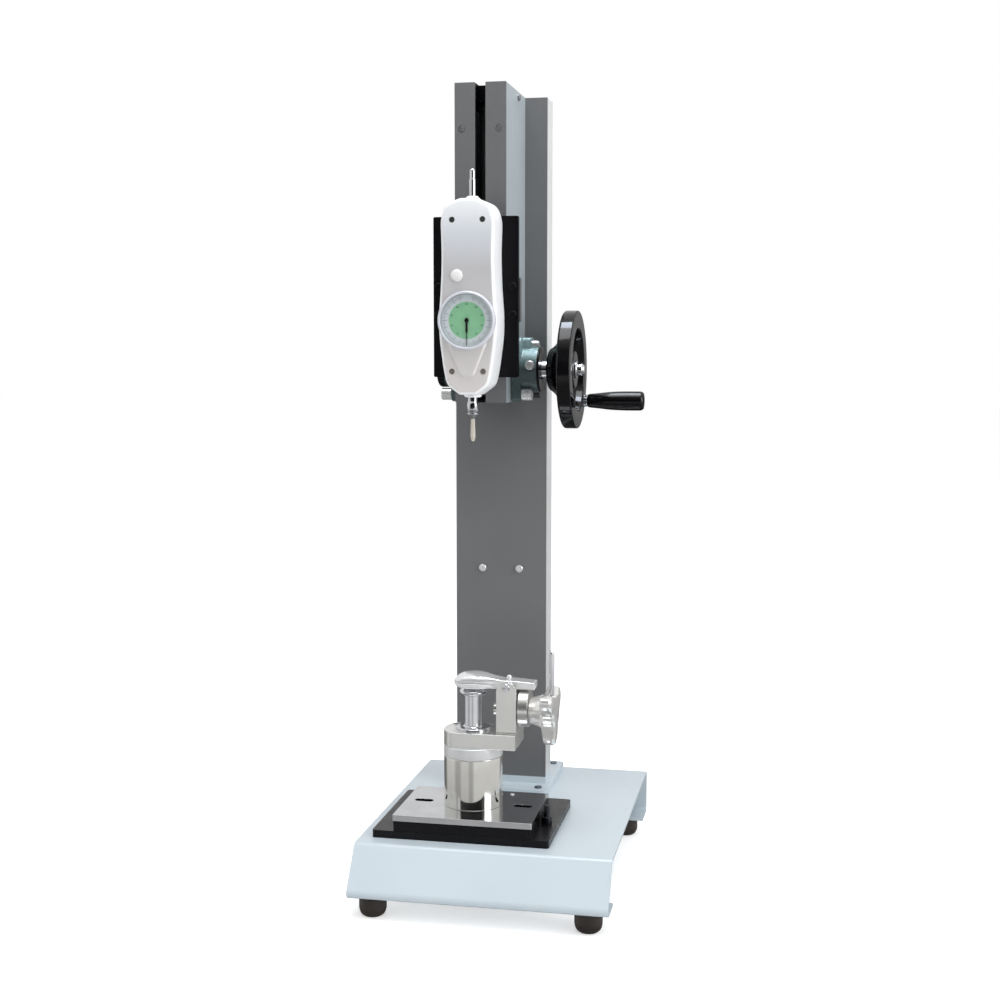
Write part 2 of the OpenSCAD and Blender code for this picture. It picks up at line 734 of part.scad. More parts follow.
module bevel_tooth(a) {
    root_r = gear_r - tooth_ded - 0.2;
    root_z = gear_r + tooth_ded + 0.2;
    tip_r = gear_r + tooth_add;
    tip_z = gear_r - tooth_add;
    points = [for (k = [gear_face, 1]) each [
        cone_point(root_r, root_z, a - root_half, k), cone_point(root_r, root_z, a + root_half, k),
        cone_point(tip_r, tip_z, a + tip_half, k), cone_point(tip_r, tip_z, a - tip_half, k)
    ]];
    polyhedron(points, [[3, 2, 1, 0], [4, 5, 6, 7], [1, 5, 4, 0], [2, 6, 5, 1], [3, 7, 6, 2], [0, 4, 7, 3]]);
}

module bevel_gear(bore_r, phase) {
    root_r = gear_r - tooth_ded;
    root_z = gear_r + tooth_ded;
    difference() {
        union() {
            rotate_extrude() polygon([
                [0, root_z * gear_face], [root_r * gear_face, root_z * gear_face], [root_r, root_z],
                [root_r - 1, root_z + 2], [gear_hub_r, root_z + 2], [gear_hub_r, gear_hub_end], [0, gear_hub_end]
            ]);
            for (i = [0 : gear_teeth - 1]) bevel_tooth(phase + i * tooth_pitch);
        }
        rod_z(0, gear_hub_end + 1, 0, 0, bore_r);
    }
}

module drive_gear() {
    color(steel) translate([0, drive_y, drive_z]) rotate([0, 90, 0]) bevel_gear(shaft_in_r, 0);
}

module driven_gear() {
    color(steel) translate([0, drive_y, drive_z]) bevel_gear(journal_r, tooth_pitch / 2);
}

module handwheel() {
    web_r = wheel_r - rim_w;
    color(black) difference() {
        turned_x(0, drive_y, drive_z, [
            [shaft_in_r, hub_back], [shaft_r + 1, hub_back], [hub_r - 3, hub_back + 1.4],
            [hub_r + 0.9, hub_back + 3.3], [hub_r + 1.9, hub_back + 5.4], [hub_r + 5.1, hub_back + 9.2],
            [hub_r + 8.9, hub_back + 11.9], [web_r - 0.5, rim_back], [wheel_r - 1.5, rim_back],
            [wheel_r, rim_back + 1.5], [wheel_r, rim_front - 0.8], [wheel_r - 0.8, rim_front],
            [web_r + 1, rim_front], [web_r, rim_front - 1], [web_r - 1.5, rim_back + 4.5],
            [hub_r + 7, hub_back + 17], [hub_r + 1, hub_back + 17.5], [hub_r - 1, rim_front - 4],
            [hub_r - 2, nut_seat], [shaft_in_r, nut_seat]
        ]);
        rod_x(rim_back - 1, rim_front + 1, crank_y, crank_z, spindle_r);
    }
}

module wheel_nut() {
    color(steel) turned_x(nut_seat, drive_y, drive_z, [
        [4, 0], [9.5, 0], [9.5, 1.6], [6.6, 1.6], [6.6, 7], [5, 9.5], [0, 10.5], [0, 8], [4, 8]
    ]);
}

spindle_r = 4;

module crank_spindle() {
    color(steel) turned_x(0, crank_y, crank_z, [
        [0, rim_back], [spindle_r, rim_back], [spindle_r, rim_front], [6.5, rim_front],
        [6.5, grip_start - 0.3], [spindle_r, grip_start - 0.3], [spindle_r, grip_end - 4],
        [spindle_r + 2, grip_end - 4 + eps], [spindle_r + 2, grip_end - 1.5], [0, grip_end - 1.5]
    ]);
}

module crank_grip() {
    color(black) turned_x(0, crank_y, crank_z, [
        [spindle_r + run_fit, grip_start], [6.6, grip_start], [7.4, grip_start + 1.5],
        [8.4, grip_start + 12], [grip_r - 0.5, grip_start + 0.4 * grip_len],
        [grip_r, grip_start + 0.65 * grip_len], [grip_r, grip_end - 2.5], [grip_r - 2, grip_end - 0.3],
        [spindle_r + 2.4, grip_end], [spindle_r + 2.4, grip_end - 4.4], [spindle_r + run_fit, grip_end - 4.4]
    ]);
}

// Lead screw and carriage
carriage_z = housing_z + block_up;
carriage_top = carriage_z + carriage_h;
carriage_x = inner_x - 2;
flange_nut_r = 13;
neck_x = slot_w / 2 - 0.6;
cross_z = carriage_z - 1;
cross_top = carriage_z + 44;
cross_back = gauge_plate_y + plate_t + cross_t;

module lead_screw() {
    color(steel) turned_z(0, drive_y, 0, [
        [0, drive_z + 10.2], [journal_r, drive_z + 10.2], [journal_r, block_top + 0.3], [screw_r, block_top + 0.3],
        [screw_r, cap_z - 0.5], [top_journal_r, cap_z - 0.5], [top_journal_r, cap_z + bearing_w + 1],
        [0, cap_z + bearing_w + 1]
    ]);
}

plate_screw_x = 39;
plate_screw_heights = [carriage_z + 6.5, carriage_z + 35];

module carriage() {
    color("#8c8f92") difference() {
        union() {
            block([-carriage_x, carriage_x], [drive_y - 33, drive_y + 46], [carriage_z, carriage_top]);
            block([-neck_x, neck_x], [cross_back - 1, drive_y - 32], [carriage_z + 5, carriage_top - 5]);
            block([-plate_w / 2 - 0.5, plate_w / 2 + 0.5], [gauge_plate_y + plate_t, cross_back],
                [cross_z, cross_top]);
        }
        rod_z(carriage_z - 1, carriage_top + 1, 0, drive_y, flange_nut_r);
        for (x = [-1, 1]) rod_z(carriage_z - 1, carriage_top + 1, x * rod_x, rod_y_pos, rod_r + run_fit);
        for (x = [-1, 1], z = plate_screw_heights)
            rod_y(gauge_plate_y, cross_back + 1, x * plate_screw_x, z, screw_r_m5);
    }
}

module carriage_nut() {
    color(bronze) turned_z(0, drive_y, carriage_z, [
        [screw_r + run_fit, 0], [flange_nut_r, 0], [flange_nut_r, carriage_h], [18, carriage_h],
        [18, carriage_h + 4],
        [screw_r + run_fit, carriage_h + 4]
    ]);
}

mount_screw_x = 7;
mount_screw_heights = [dial_z - 28, dial_z + 92];

module gauge_plate() {
    color(black) difference() {
        along_y(gauge_plate_y, gauge_plate_y + plate_t) polygon(rounded(rect(-plate_w / 2, plate_w / 2,
            gauge_plate_z, gauge_plate_z + plate_h), 1.5, 3));
        for (x = [-1, 1], z = plate_screw_heights)
            rod_y(gauge_plate_y - 1, gauge_plate_y + plate_t + 1, x * plate_screw_x, z, screw_r_m5 + loose);
        for (x = [-1, 1], z = mount_screw_heights)
            rod_y(gauge_plate_y - 1, gauge_plate_y + plate_t + 1, x * mount_screw_x, z, screw_r_m4 + loose);
    }
}

// Gauge body: the outline gives half widths and heights from the dial centre
body_half = [
    [9.2, -75], [14.6, -71], [21, -66.3], [23.6, -60.5], [26, -48], [29.6, -22], [30.5, -8], [30.5, 6],
    [28, 102], [25.5, 111], [20.5, 117], [8, 122]
];
body_top = 122;
body_bottom = 75;
body_points = [for (p = mirrored(body_half)) [p[0], p[1] + dial_z]];
front_chamfer = 4;
case_screw_places = [[-15.6, dial_z + 99.9], [15.6, dial_z + 99.9], [-16, dial_z - 51], [16, dial_z - 51]];
button_at = [-10.8, dial_z + 44.7];
spigot_r = 22;
wall_y = gauge_front_y + shell_t;
low_bush_r = nose_r + 2.2;
top_bush_r = stem_r + 2.2;
top_bush_z = dial_z + body_top - 10;
low_bush_z = dial_z - body_bottom - 0.5;
low_bush_h = 9;
panel_out = 2;
panel_points = [for (p = [[21.5, -20], [7, -56], [-7, -56], [-21.5, -20]]) [p[0], p[1] + dial_z]];

module gauge_back_shell() {
    color(white_plastic) difference() {
        union() {
            difference() {
                along_y(gauge_y, gauge_plate_y) polygon(rounded(body_points, 5));
                along_y(gauge_y - 1, gauge_plate_y - shell_t) polygon(rounded(inset(body_points, shell_t), 3));
            }
            for (p = case_screw_places) rod_y(gauge_y, gauge_plate_y - 1, p[0], p[1], 4.2);
            block([-low_bush_r - 2, low_bush_r + 2], [gauge_y, gauge_plate_y - 1],
                [low_bush_z + 2, low_bush_z + low_bush_h]);
            block([-top_bush_r - 2, top_bush_r + 2], [gauge_y, gauge_plate_y - 1], [top_bush_z, top_bush_z + 8]);
        }
        for (p = case_screw_places) rod_y(gauge_y - 1, gauge_y + 9, p[0], p[1], 1.5);
        for (x = [-1, 1], z = mount_screw_heights)
            rod_y(gauge_plate_y - 6, gauge_plate_y + 1, x * mount_screw_x, z, screw_r_m4 + loose);
        rod_z(low_bush_z - 1, low_bush_z + low_bush_h + 1, 0, gauge_y, low_bush_r);
        rod_z(top_bush_z - 1, top_bush_z + 12, 0, gauge_y, top_bush_r);
    }
}

module gauge_front_shell() {
    color(white_plastic) difference() {
        union() {
            difference() {
                hull() {
                    along_y(gauge_front_y + front_chamfer, gauge_y) polygon(rounded(body_points, 5));
                    along_y(gauge_front_y, gauge_y - 1) polygon(rounded(inset(body_points, 2.2), 4));
                }
                along_y(wall_y, gauge_y + 1) polygon(rounded(inset(body_points, shell_t + 1.2), 2));
            }
            along_y(gauge_front_y - panel_out, gauge_front_y + 1) polygon(rounded(panel_points, 4));
            for (p = case_screw_places) rod_y(gauge_front_y + 1, gauge_y, p[0], p[1], 4.2);
            block([-low_bush_r - 2, low_bush_r + 2], [gauge_front_y + 2, gauge_y],
                [low_bush_z + 3, low_bush_z + low_bush_h]);
            block([-top_bush_r - 2, top_bush_r + 2], [gauge_front_y + 2, gauge_y], [top_bush_z, top_bush_z + 7]);
        }
        rod_y(gauge_front_y - panel_out - 1, gauge_front_y, 0, dial_z, bezel_r + 0.6);
        rod_y(gauge_front_y - 2, wall_y + 1, 0, dial_z, spigot_r + 0.1);
        rod_y(gauge_front_y - 1, wall_y + 1, button_at[0], button_at[1], button_r + 0.1);
        for (p = case_screw_places) {
            rod_y(gauge_front_y - 1, wall_y, p[0], p[1], 3);
            rod_y(wall_y - 1, gauge_y + 1, p[0], p[1], 1.7);
        }
        rod_z(low_bush_z - 1, low_bush_z + low_bush_h + 1, 0, gauge_y, low_bush_r);
        rod_z(top_bush_z - 1, top_bush_z + 12, 0, gauge_y, top_bush_r);
    }
}

module gauge_screws() {
    color("#54575c") {
        for (p = case_screw_places) translate([p[0], wall_y, p[1]]) rotate([90, 0, 0])
            screw(1.5, 2.8, 1.9, gauge_y - wall_y + 8);
        for (x = [-1, 1], z = mount_screw_heights) translate([x * mount_screw_x, gauge_plate_y + plate_t, z])
            rotate([-90, 0, 0]) screw(screw_r_m4, 3.6, 2.6, plate_t + shell_t + chassis_t + 1);
        for (x = [-1, 1], z = plate_screw_heights) translate([x * plate_screw_x, gauge_plate_y, z])
            rotate([90, 0, 0]) screw(screw_r_m5, 4, 2.6, plate_t + cross_t);
    }
}

// Gauge works: a chassis with two spring ears and a pinion cage in front of the shaft
chassis_t = 2;
chassis_y = gauge_plate_y - shell_t - chassis_t;
ear_t = 3;
low_ear_z = dial_z + 27.7;
high_ear_z = dial_z + 104.7;
collar_z = (low_ear_z + high_ear_z + ear_t) / 2;
collar_h = 5;
pinion_y = [gauge_y - 15.4, gauge_y - 9.4];
cage_t = 2;
cage_x = 16;
cage_up = 14;
cage_low = dial_z - 5.3;
cage_high = dial_z + cage_up;
chassis_half = 11;
chassis_down = 34;
spindle_end = pinion_y[1] + cage_t + 2.5;

module gauge_chassis() {
    color(satin) difference() {
        union() {
            block([-chassis_half, chassis_half], [chassis_y, chassis_y + chassis_t],
                [dial_z - chassis_down, high_ear_z + ear_t]);
            for (z = [low_ear_z, high_ear_z]) block([-8, 8], [gauge_y - 8, chassis_y + 1], [z, z + ear_t]);
            block([-cage_x, cage_x], [pinion_y[0] - 1 - cage_t, pinion_y[0] - 1], [cage_low, cage_high]);
            block([-cage_x, cage_x], [pinion_y[1] + 1, pinion_y[1] + 1 + cage_t], [cage_low, cage_high]);
            for (x = [-1, 1], z = [cage_low + 2.5, cage_high - 2.5])
                rod_y(pinion_y[0] - 2, pinion_y[1] + 2, x * 13, z, 1.5);
            for (x = [-1, 1]) rod_y(pinion_y[1] + 2, chassis_y + 1, x * 9, cage_low + 7, 1.8);
        }
        for (z = [low_ear_z, high_ear_z]) rod_z(z - 1, z + ear_t + 1, 0, gauge_y, stem_r + 0.4);
        rod_y(pinion_y[0] - 6, pinion_y[1] + 6, 0, dial_z, 1 + run_fit);
        for (x = [-1, 1], z = mount_screw_heights)
            rod_y(chassis_y - 1, chassis_y + chassis_t + 1, x * mount_screw_x, z, screw_r_m4);
    }
}

module gauge_bushes() {
    color(bronze) {
        turned_z(0, gauge_y, low_bush_z, [
            [nose_r + run_fit, 0], [low_bush_r, 0], [low_bush_r, low_bush_h], [nose_r + run_fit, low_bush_h]
        ]);
        turned_z(0, gauge_y, top_bush_z, [
            [stem_r + run_fit, 0], [top_bush_r, 0], [top_bush_r, 12.8], [stem_r + run_fit, 12.8]
        ]);
    }
}

// Springs: a round wire swept along a helix, closed flat at both ends
spring_turns = 6;
spring_steps = 14;
wire_r = 0.7;
coil_r = 5;
wire_sides = 6;

module coil_spring(z0, z1) {
    rings = spring_turns * spring_steps;
    rise = z1 - z0 - 2 * wire_r - 0.4;
    points = [for (i = [0 : rings]) let (a = 360 * i / spring_steps)
        for (j = [0 : wire_sides - 1]) let (b = 360 * j / wire_sides, r = coil_r + wire_r * cos(b))
            [r * cos(a), r * sin(a), wire_r + 0.2 + rise * i / rings + wire_r * sin(b)]];
    sides = [for (i = [0 : rings - 1], j = [0 : wire_sides - 1]) let (k = (j + 1) % wire_sides)
        each [[i * wire_sides + j, (i + 1) * wire_sides + j, (i + 1) * wire_sides + k],
            [i * wire_sides + j, (i + 1) * wire_sides + k, i * wire_sides + k]]];
    ends = [[for (j = [0 : wire_sides - 1]) j], [for (j = [wire_sides - 1 : -1 : 0]) rings * wire_sides + j]];
    translate([0, gauge_y, z0]) polyhedron(points, concat(sides, ends));
}

module lower_spring() {
    color(steel) coil_spring(low_ear_z + ear_t, collar_z - collar_h / 2);
}

module upper_spring() {
    color(steel) coil_spring(collar_z + collar_h / 2, high_ear_z);
}

nose_top = dial_z - 57;
nose_end = dial_z - 93.3;
tip_r = 2.75;
tip_z = dial_z + stem_up - 10.2;

module gauge_shaft() {
    color(steel) turned_z(0, gauge_y, 0, [
        [0, nose_end], [nose_r, nose_end], [nose_r, nose_top], [stem_r, nose_top],
        [stem_r, collar_z - collar_h / 2], [5.8, collar_z - collar_h / 2], [5.8, collar_z + collar_h / 2],
        [stem_r, collar_z + collar_h / 2], [stem_r, tip_z], [tip_r, tip_z], [tip_r, dial_z + stem_up - 1],
        [tip_r - 1, dial_z + stem_up], [0, dial_z + stem_up]
    ]);
}

// Rack on the shaft: the pitch line touches the pinion's pitch circle on the right
rack_pitch = 2 * PI * pinion_r / pinion_teeth;
rack_half_teeth = ceil((stroke + 3) / rack_pitch);
rack_root = pinion_r + 0.62;
rack_tip = pinion_r - 0.42;
rack_back = rack_root + 2.6;
arm_top = dial_z - 14.8;
arm_low = arm_top - 7;

module gauge_rack() {
    reach = rack_half_teeth * rack_pitch;
    teeth = [for (i = [-rack_half_teeth : rack_half_teeth - 1]) let (z = dial_z + (i + 0.5) * rack_pitch) each [
        [rack_root, z - 0.32 * rack_pitch], [rack_tip, z - 0.11 * rack_pitch], [rack_tip, z + 0.11 * rack_pitch],
        [rack_root, z + 0.32 * rack_pitch]
    ]];
    color(bronze) difference() {
        union() {
            along_y(pinion_y[0], pinion_y[1]) polygon(concat(
                [[rack_back, dial_z + reach + 1], [rack_root, dial_z + reach + 1]],
                [for (i = [len(teeth) - 1 : -1 : 0]) teeth[i]],
                [[rack_root, arm_low], [rack_back, arm_low]]));
            block([-6, rack_back], [pinion_y[0], gauge_y + 6], [arm_low, arm_top]);
        }
        rod_z(arm_low - 1, arm_top + 1, 0, gauge_y, stem_r);
    }
}

hook_rod_r = 2.1;
hook_bend = 3;
hook_turn = 11.5;

module hook_coupling() {
    color(steel) turned_z(0, gauge_y, nose_end - 6.5, [
        [hook_rod_r, 0], [hook_rod_r + 0.9, 0], [nose_r, 4.5], [nose_r, 6.5], [hook_rod_r, 6.5]
    ]);
}

hook_z = nose_end - 25;

module test_hook() {
    color("#d9d6cc") translate([0, gauge_y, 0]) rotate([0, 0, hook_turn]) {
        rod_z(hook_z, nose_end, 0, 0, hook_rod_r);
        translate([0, hook_bend, hook_z]) rotate([90, 0, 90]) rotate([0, 0, 180])
            rotate_extrude(angle = 180) translate([hook_bend, 0]) circle(r = hook_rod_r, $fn = 24);
        rod_z(hook_z, hook_z + 2.5, 0, 2 * hook_bend, hook_rod_r);
    }
}

// Pinion with straight-sided teeth, one of them pointing right into a rack gap
pinion_tip = pinion_r + 0.42;
pinion_root = pinion_r - 0.6;
needle_y = gauge_front_y - 3.35;

module pointer_pinion() {
    step = 360 / pinion_teeth;
    outline = [for (i = [0 : pinion_teeth - 1]) each [
        [for (s = [-0.27, -0.1]) s < -0.2 ? pinion_root * [cos((i + s) * step), sin((i + s) * step)]
            : pinion_tip * [cos((i + s) * step), sin((i + s) * step)]],
        [for (s = [0.1, 0.27]) s > 0.2 ? pinion_root * [cos((i + s) * step), sin((i + s) * step)]
            : pinion_tip * [cos((i + s) * step), sin((i + s) * step)]]
    ]];
    color(bronze) union() {
        translate([0, 0, dial_z]) along_y(pinion_y[0], pinion_y[1]) polygon([for (pair = outline) each pair]);
        rod_y(needle_y - 0.3, spindle_end, 0, dial_z, 1);
    }
}

pointer_len = 25;

module pointer() {
    color(black) difference() {
        union() {
            along_y(needle_y, needle_y + 0.7) polygon([
                [-1.1, dial_z + 2.5], [1.1, dial_z + 2.5], [1.1, dial_z - 11], [0.3, dial_z - 13],
                [0.25, dial_z - pointer_len], [-0.25, dial_z - pointer_len], [-0.3, dial_z - 13],
                [-1.1, dial_z - 11]
            ]);
            rod_y(needle_y, needle_y + 0.7, 0, dial_z, 2.2);
        }
        rod_y(needle_y - 1, needle_y + 2, 0, dial_z, 1);
    }
}

// Dial: bezel, face and glass turn together to set zero
face_y = gauge_front_y - 2.15;
bezel_y = gauge_front_y - bezel_out;
glass_t = 1.5;
lip_t = 0.9;
face_r = bezel_r - 2.7;

module bezel_ring() {
    color("#dfe2e6") turned_y(0, bezel_y, dial_z, [
        [face_r - 1.4, 0], [bezel_r - 1.2, 0], [bezel_r, 1.5], [bezel_r, bezel_out - 0.3],
        [face_r + 0.1, bezel_out - 0.3], [face_r + 0.1, lip_t], [face_r - 1.4, lip_t]
    ]);
}

module dial_face() {
    color("#8cc79a") turned_y(0, face_y, dial_z, [
        [1.6, 0], [face_r, 0], [face_r, 1.4], [spigot_r, 1.4], [spigot_r, gauge_front_y + shell_t + 0.4 - face_y],
        [spigot_r + 0.8, gauge_front_y + shell_t + 0.5 - face_y], [spigot_r, gauge_front_y + shell_t + 1.4 - face_y],
        [spigot_r - 2, gauge_front_y + shell_t + 1.4 - face_y], [spigot_r - 2, 1.4], [1.6, 1.4]
    ]);
}

module dial_glass() {
    color("#dfeef2") turned_y(0, bezel_y + lip_t, dial_z, [[0, 0], [face_r, 0], [face_r, glass_t], [0, glass_t]]);
}

// The peak button stands 3 mm out of the shell and has room for its press behind the wall
button_out = 3;

module peak_button() {
    flange_y = button_out + shell_t + 0.3;
    color("white") turned_y(button_at[0], gauge_front_y - button_out, button_at[1], [
        [0, 0], [button_r - 3, 0.3], [button_r - 1, 1.2], [button_r, 2.6], [button_r, flange_y],
        [button_r + 1.6, flange_y], [button_r + 1.6, flange_y + 1.7], [0, flange_y + 1.7]
    ]);
}

// Fixture plates
slot_places = [-slot_x, slot_x];

module fixture_base() {
    color(black) difference() {
        along_z(base_h, fixture_top) polygon(rounded(rect(fixture_x - fixture_w / 2, fixture_x + fixture_w / 2,
            fixture_y, fixture_y + fixture_d), 3));
        for (p = fixture_screw_places) {
            rod_z(base_h - 1, fixture_top + 1, p[0], p[1], screw_r_m6 + loose);
            rod_z(fixture_top - sunk, fixture_top + 1, p[0], p[1], m6_head_r + loose);
        }
        for (x = [-1, 1]) rod_z(fixture_top - 4, fixture_top + 1, x * fixture_pan_x, plate_screw_y, screw_r_m4);
        rod_z(base_h - 1, fixture_top + 1, knob_x, gauge_y, 4 + loose);
    }
}

module slot_cut(z0, z1) {
    for (x = slot_places) along_z(z0, z1) {
        for (s = [-1, 1]) translate([x + s * (slot_len - slot_hole_w) / 2, gauge_y - 1.5]) circle(d = slot_hole_w);
        translate([x, gauge_y - 1.5]) square([slot_len - slot_hole_w, slot_hole_w], center = true);
    }
}

module spacer_plate() {
    z1 = fixture_top + spacer_t;
    color(black) difference() {
        block([1 - chrome_w / 2, chrome_w / 2 - 1], [fixture_y + 0.8, fixture_y + chrome_d - 0.8], [fixture_top, z1]);
        slot_cut(fixture_top - 1, z1 + 1);
        rod_z(fixture_top - 1, z1 + 1, 0, gauge_y, 10);
        for (x = [-1, 1]) rod_z(fixture_top - 1, z1 + 1, x * fixture_pan_x, plate_screw_y, screw_r_m4 + loose);
    }
}

module fixture_plate() {
    z0 = fixture_top + spacer_t;
    color(steel) difference() {
        along_z(z0, fixture_plate_z) polygon(rounded(rect(-chrome_w / 2, chrome_w / 2, fixture_y,
            fixture_y + chrome_d), 1.2, 3));
        slot_cut(z0 - 1, fixture_plate_z + 1);
        rod_z(z0 - 1, fixture_plate_z + 1, 0, gauge_y, 10);
        for (x = [-1, 1]) rod_z(z0 - 1, fixture_plate_z + 1, x * fixture_pan_x, plate_screw_y, screw_r_m4 + loose);
    }
}

module lock_knob() {
    reach = fixture_t + sheet_t + 8;
    color(black) turned_z(knob_x, gauge_y, fixture_top, [
        [0, -reach], [4, -reach], [4, 0], [5.5, 0], [5.5, 6.4], [4.9, 7], [3.4, 7], [3.4, 18.2], [2.8, 19], [0, 19]
    ]);
}

// Pedestal and clamp block
ring_z = fixture_plate_z + pedestal_h;
clamp_z = ring_z + ring_h;
clamp_top = clamp_z + clamp_t;
block_screw = [-22, gauge_y + 15];

module pedestal() {
    color(steel) union() {
        rod_z(fixture_plate_z, ring_z, 0, gauge_y, pedestal_r);
        rod_z(fixture_top, fixture_plate_z + 1, 0, gauge_y, 10);
    }
}

module pedestal_ring() {
    color(satin) turned_z(0, gauge_y, ring_z, [
        [0, 0], [pedestal_r - 0.4, 0], [pedestal_r, 0.4], [pedestal_r, ring_h - 0.4], [pedestal_r - 0.4, ring_h],
        [0, ring_h]
    ]);
}

module clamp_block() {
    color(satin) difference() {
        union() {
            intersection() {
                rod_z(clamp_z, clamp_top, 0, gauge_y, pedestal_r);
                block([-pedestal_r, pedestal_r], [gauge_y - clamp_half, gauge_y + clamp_half], [clamp_z, clamp_top]);
            }
            block([0, clamp_right], [gauge_y - clamp_half, gauge_y + clamp_half], [clamp_z, clamp_top]);
        }
        rod_z(clamp_top - 5, clamp_top + 1, block_screw[0], block_screw[1], 3.4);
    }
}

module anvil_stem() {
    color(steel) turned_z(0, gauge_y, clamp_top, [
        [0, 0], [18, 0], [18, 1.8], [17.2, 2.6], [anvil_r, 2.6], [anvil_r, anvil_h - 0.6],
        [anvil_r - 0.6, anvil_h], [0, anvil_h]
    ]);
}

// Pivot post: a solid foot that carries the cam shaft and two ears that carry the rocker's pin
post_x = pivot_x - post_w / 2;
post_half = 17.5;
ear_y = arm_w / 2 + 0.3;
pivot_z = clamp_top + pivot_up;
cam_z = clamp_top + cam_up;
post_foot_top = cam_z + 11;
cam_shaft_r = 4.5;
pin_r = 3;

module pivot_post() {
    color(satin) difference() {
        union() {
            block([post_x, post_x + post_w], [gauge_y - post_half, gauge_y + post_half], [clamp_top, pivot_z - 5.4]);
            intersection() {
                rod_y(gauge_y - post_half, gauge_y + post_half, pivot_x, pivot_z - 5.5, post_w / 2);
                block([post_x, post_x + post_w], [gauge_y - post_half, gauge_y + post_half],
                    [pivot_z - 6, pivot_z + 10]);
            }
        }
        block([post_x - 1, post_x + post_w + 1], [gauge_y - ear_y, gauge_y + ear_y], [post_foot_top, pivot_z + 20]);
        rod_x(post_x - 1, post_x + post_w + 1, gauge_y, cam_z, cam_shaft_r + run_fit);
        rod_y(gauge_y - post_half - 1, gauge_y + post_half + 1, pivot_x, pivot_z, pin_r + loose / 4);
    }
}

module pivot_pin() {
    color(steel) difference() {
        turned_y(pivot_x, gauge_y, pivot_z, [
            [0, -post_half - 1.8], [3.4, -post_half - 1.8], [4, -post_half - 1.2], [4, -post_half],
            [pin_r, -post_half], [pin_r, post_half + 1], [0, post_half + 1]
        ]);
        block([pivot_x - 5, pivot_x + 5], [gauge_y - post_half - 3, gauge_y - post_half - 0.9],
            [pivot_z - 0.5, pivot_z + 0.5]);
    }
}

// Rocker arm: a paddle over the anvil, the pin's boss and a tail over the cam
arm_low_z = pivot_z - 3.5;
paddle_x = -19;
paddle_half = 16.5;
anvil_top = clamp_top + anvil_h;
foot_h = arm_low_z - anvil_top;
foot_r_clamp = 14.5;
arm_side = [
    [paddle_x, arm_low_z + arm_t - 2], [paddle_x + 8, arm_low_z], [pivot_x + tail_len, arm_low_z],
    [pivot_x + tail_len, arm_low_z + arm_t - 1.5], [pivot_x + 9, arm_low_z + arm_t],
    [pivot_x - 12, arm_low_z + arm_t + 0.5], [17, arm_low_z + arm_t + 3.4], [6, arm_low_z + arm_t + 4.4],
    [-7, arm_low_z + arm_t + 3.4], [paddle_x + 3, arm_low_z + arm_t]
];
paddle_top = [
    [paddle_x, -paddle_half + 8], [paddle_x + 6, -paddle_half], [8, -paddle_half], [post_x - 3, -arm_w / 2],
    [pivot_x + tail_len, -arm_w / 2]
];
ball_r = 2.7;
ball_z = arm_low_z + arm_t + 1.9;

module rocker_arm() {
    color(steel) difference() {
        union() {
            intersection() {
                along_y(gauge_y - paddle_half - 1, gauge_y + paddle_half + 1) polygon(arm_side);
                along_z(arm_low_z - 5, arm_low_z + arm_t + 10) polygon([
                    for (p = concat(paddle_top, [for (i = [len(paddle_top) - 1 : -1 : 0])
                        [paddle_top[i][0], -paddle_top[i][1]]])) [p[0], p[1] + gauge_y]]);
            }
            translate([pivot_x, gauge_y, ball_z]) sphere(r = ball_r, $fn = 32);
        }
        rod_y(gauge_y - paddle_half, gauge_y + paddle_half, pivot_x, pivot_z, pin_r + run_fit);
    }
}

foot_gap = 0.05;

module clamp_foot() {
    color(steel) turned_z(0, gauge_y, anvil_top + foot_gap, [
        [0, 0], [foot_r_clamp - 1, 0], [foot_r_clamp, 1], [foot_r_clamp, 3], [foot_r_clamp - 2, 4.6],
        [8, foot_h - foot_gap], [0, foot_h - foot_gap]
    ]);
}

// Cam: the edge falls evenly with the angle from its high point, the same on both sides
hub_x = clamp_right + 11.4;
cam_x = [clamp_right + 1.2, hub_x - 0.4];
cam_gap = 0.3;
cam_high = arm_low_z - cam_gap - cam_z;
cam_steps = 48;
knob_start = hub_x + 13;
knob_t = 11;
knob_end = knob_start + knob_t;
knob_hub_r = 18;
knob_back_r = 14;

module cam_shaft() {
    outline = [for (i = [0 : cam_steps - 1]) let (a = 360 * i / cam_steps, fall = min(a, 360 - a) / 180)
        (cam_high - cam_drop * fall) * [-sin(a), cos(a)]];
    color("#77797b") union() {
        translate([0, gauge_y, cam_z]) along_x(cam_x[0], cam_x[1]) polygon(outline);
        turned_x(0, gauge_y, cam_z, [
            [0, post_x - 5], [cam_shaft_r + 2.5, post_x - 5], [cam_shaft_r + 2.5, post_x - 0.4],
            [cam_shaft_r, post_x - 0.4], [cam_shaft_r, cam_x[1] - 2], [cam_shaft_r + 3, cam_x[1] - 2],
            [cam_shaft_r + 3, hub_x], [cam_shaft_r, hub_x], [cam_shaft_r, knob_start], [0, knob_start]
        ]);
    }
}

// Lobed knob: a turned hub with three rounded lobes, one pointing straight down
module lobed_knob() {
    lobe_end = 7.5;
    color(steel) difference() {
        union() {
            turned_x(0, gauge_y, cam_z, [
                [0, hub_x], [knob_back_r - 2, hub_x], [knob_back_r, hub_x + 2], [knob_hub_r, knob_start],
                [knob_hub_r, knob_end], [0, knob_end]
            ]);
            for (a = [180, 300, 60]) translate([knob_start, gauge_y, cam_z]) rotate([a, 0, 0])
                rotate([0, 90, 0]) hull() {
                    cylinder(h = knob_t + 4, r = 15, $fn = 32);
                    translate([lobe_end - lobe_r, 0, 1]) cylinder(h = knob_t + 1, r = lobe_end, $fn = 32);
                }
        }
        rod_x(hub_x - 1, knob_start, gauge_y, cam_z, cam_shaft_r);
        rod_z(cam_z + 9, cam_z + lever_len, lever_x, gauge_y, lever_r);
    }
}

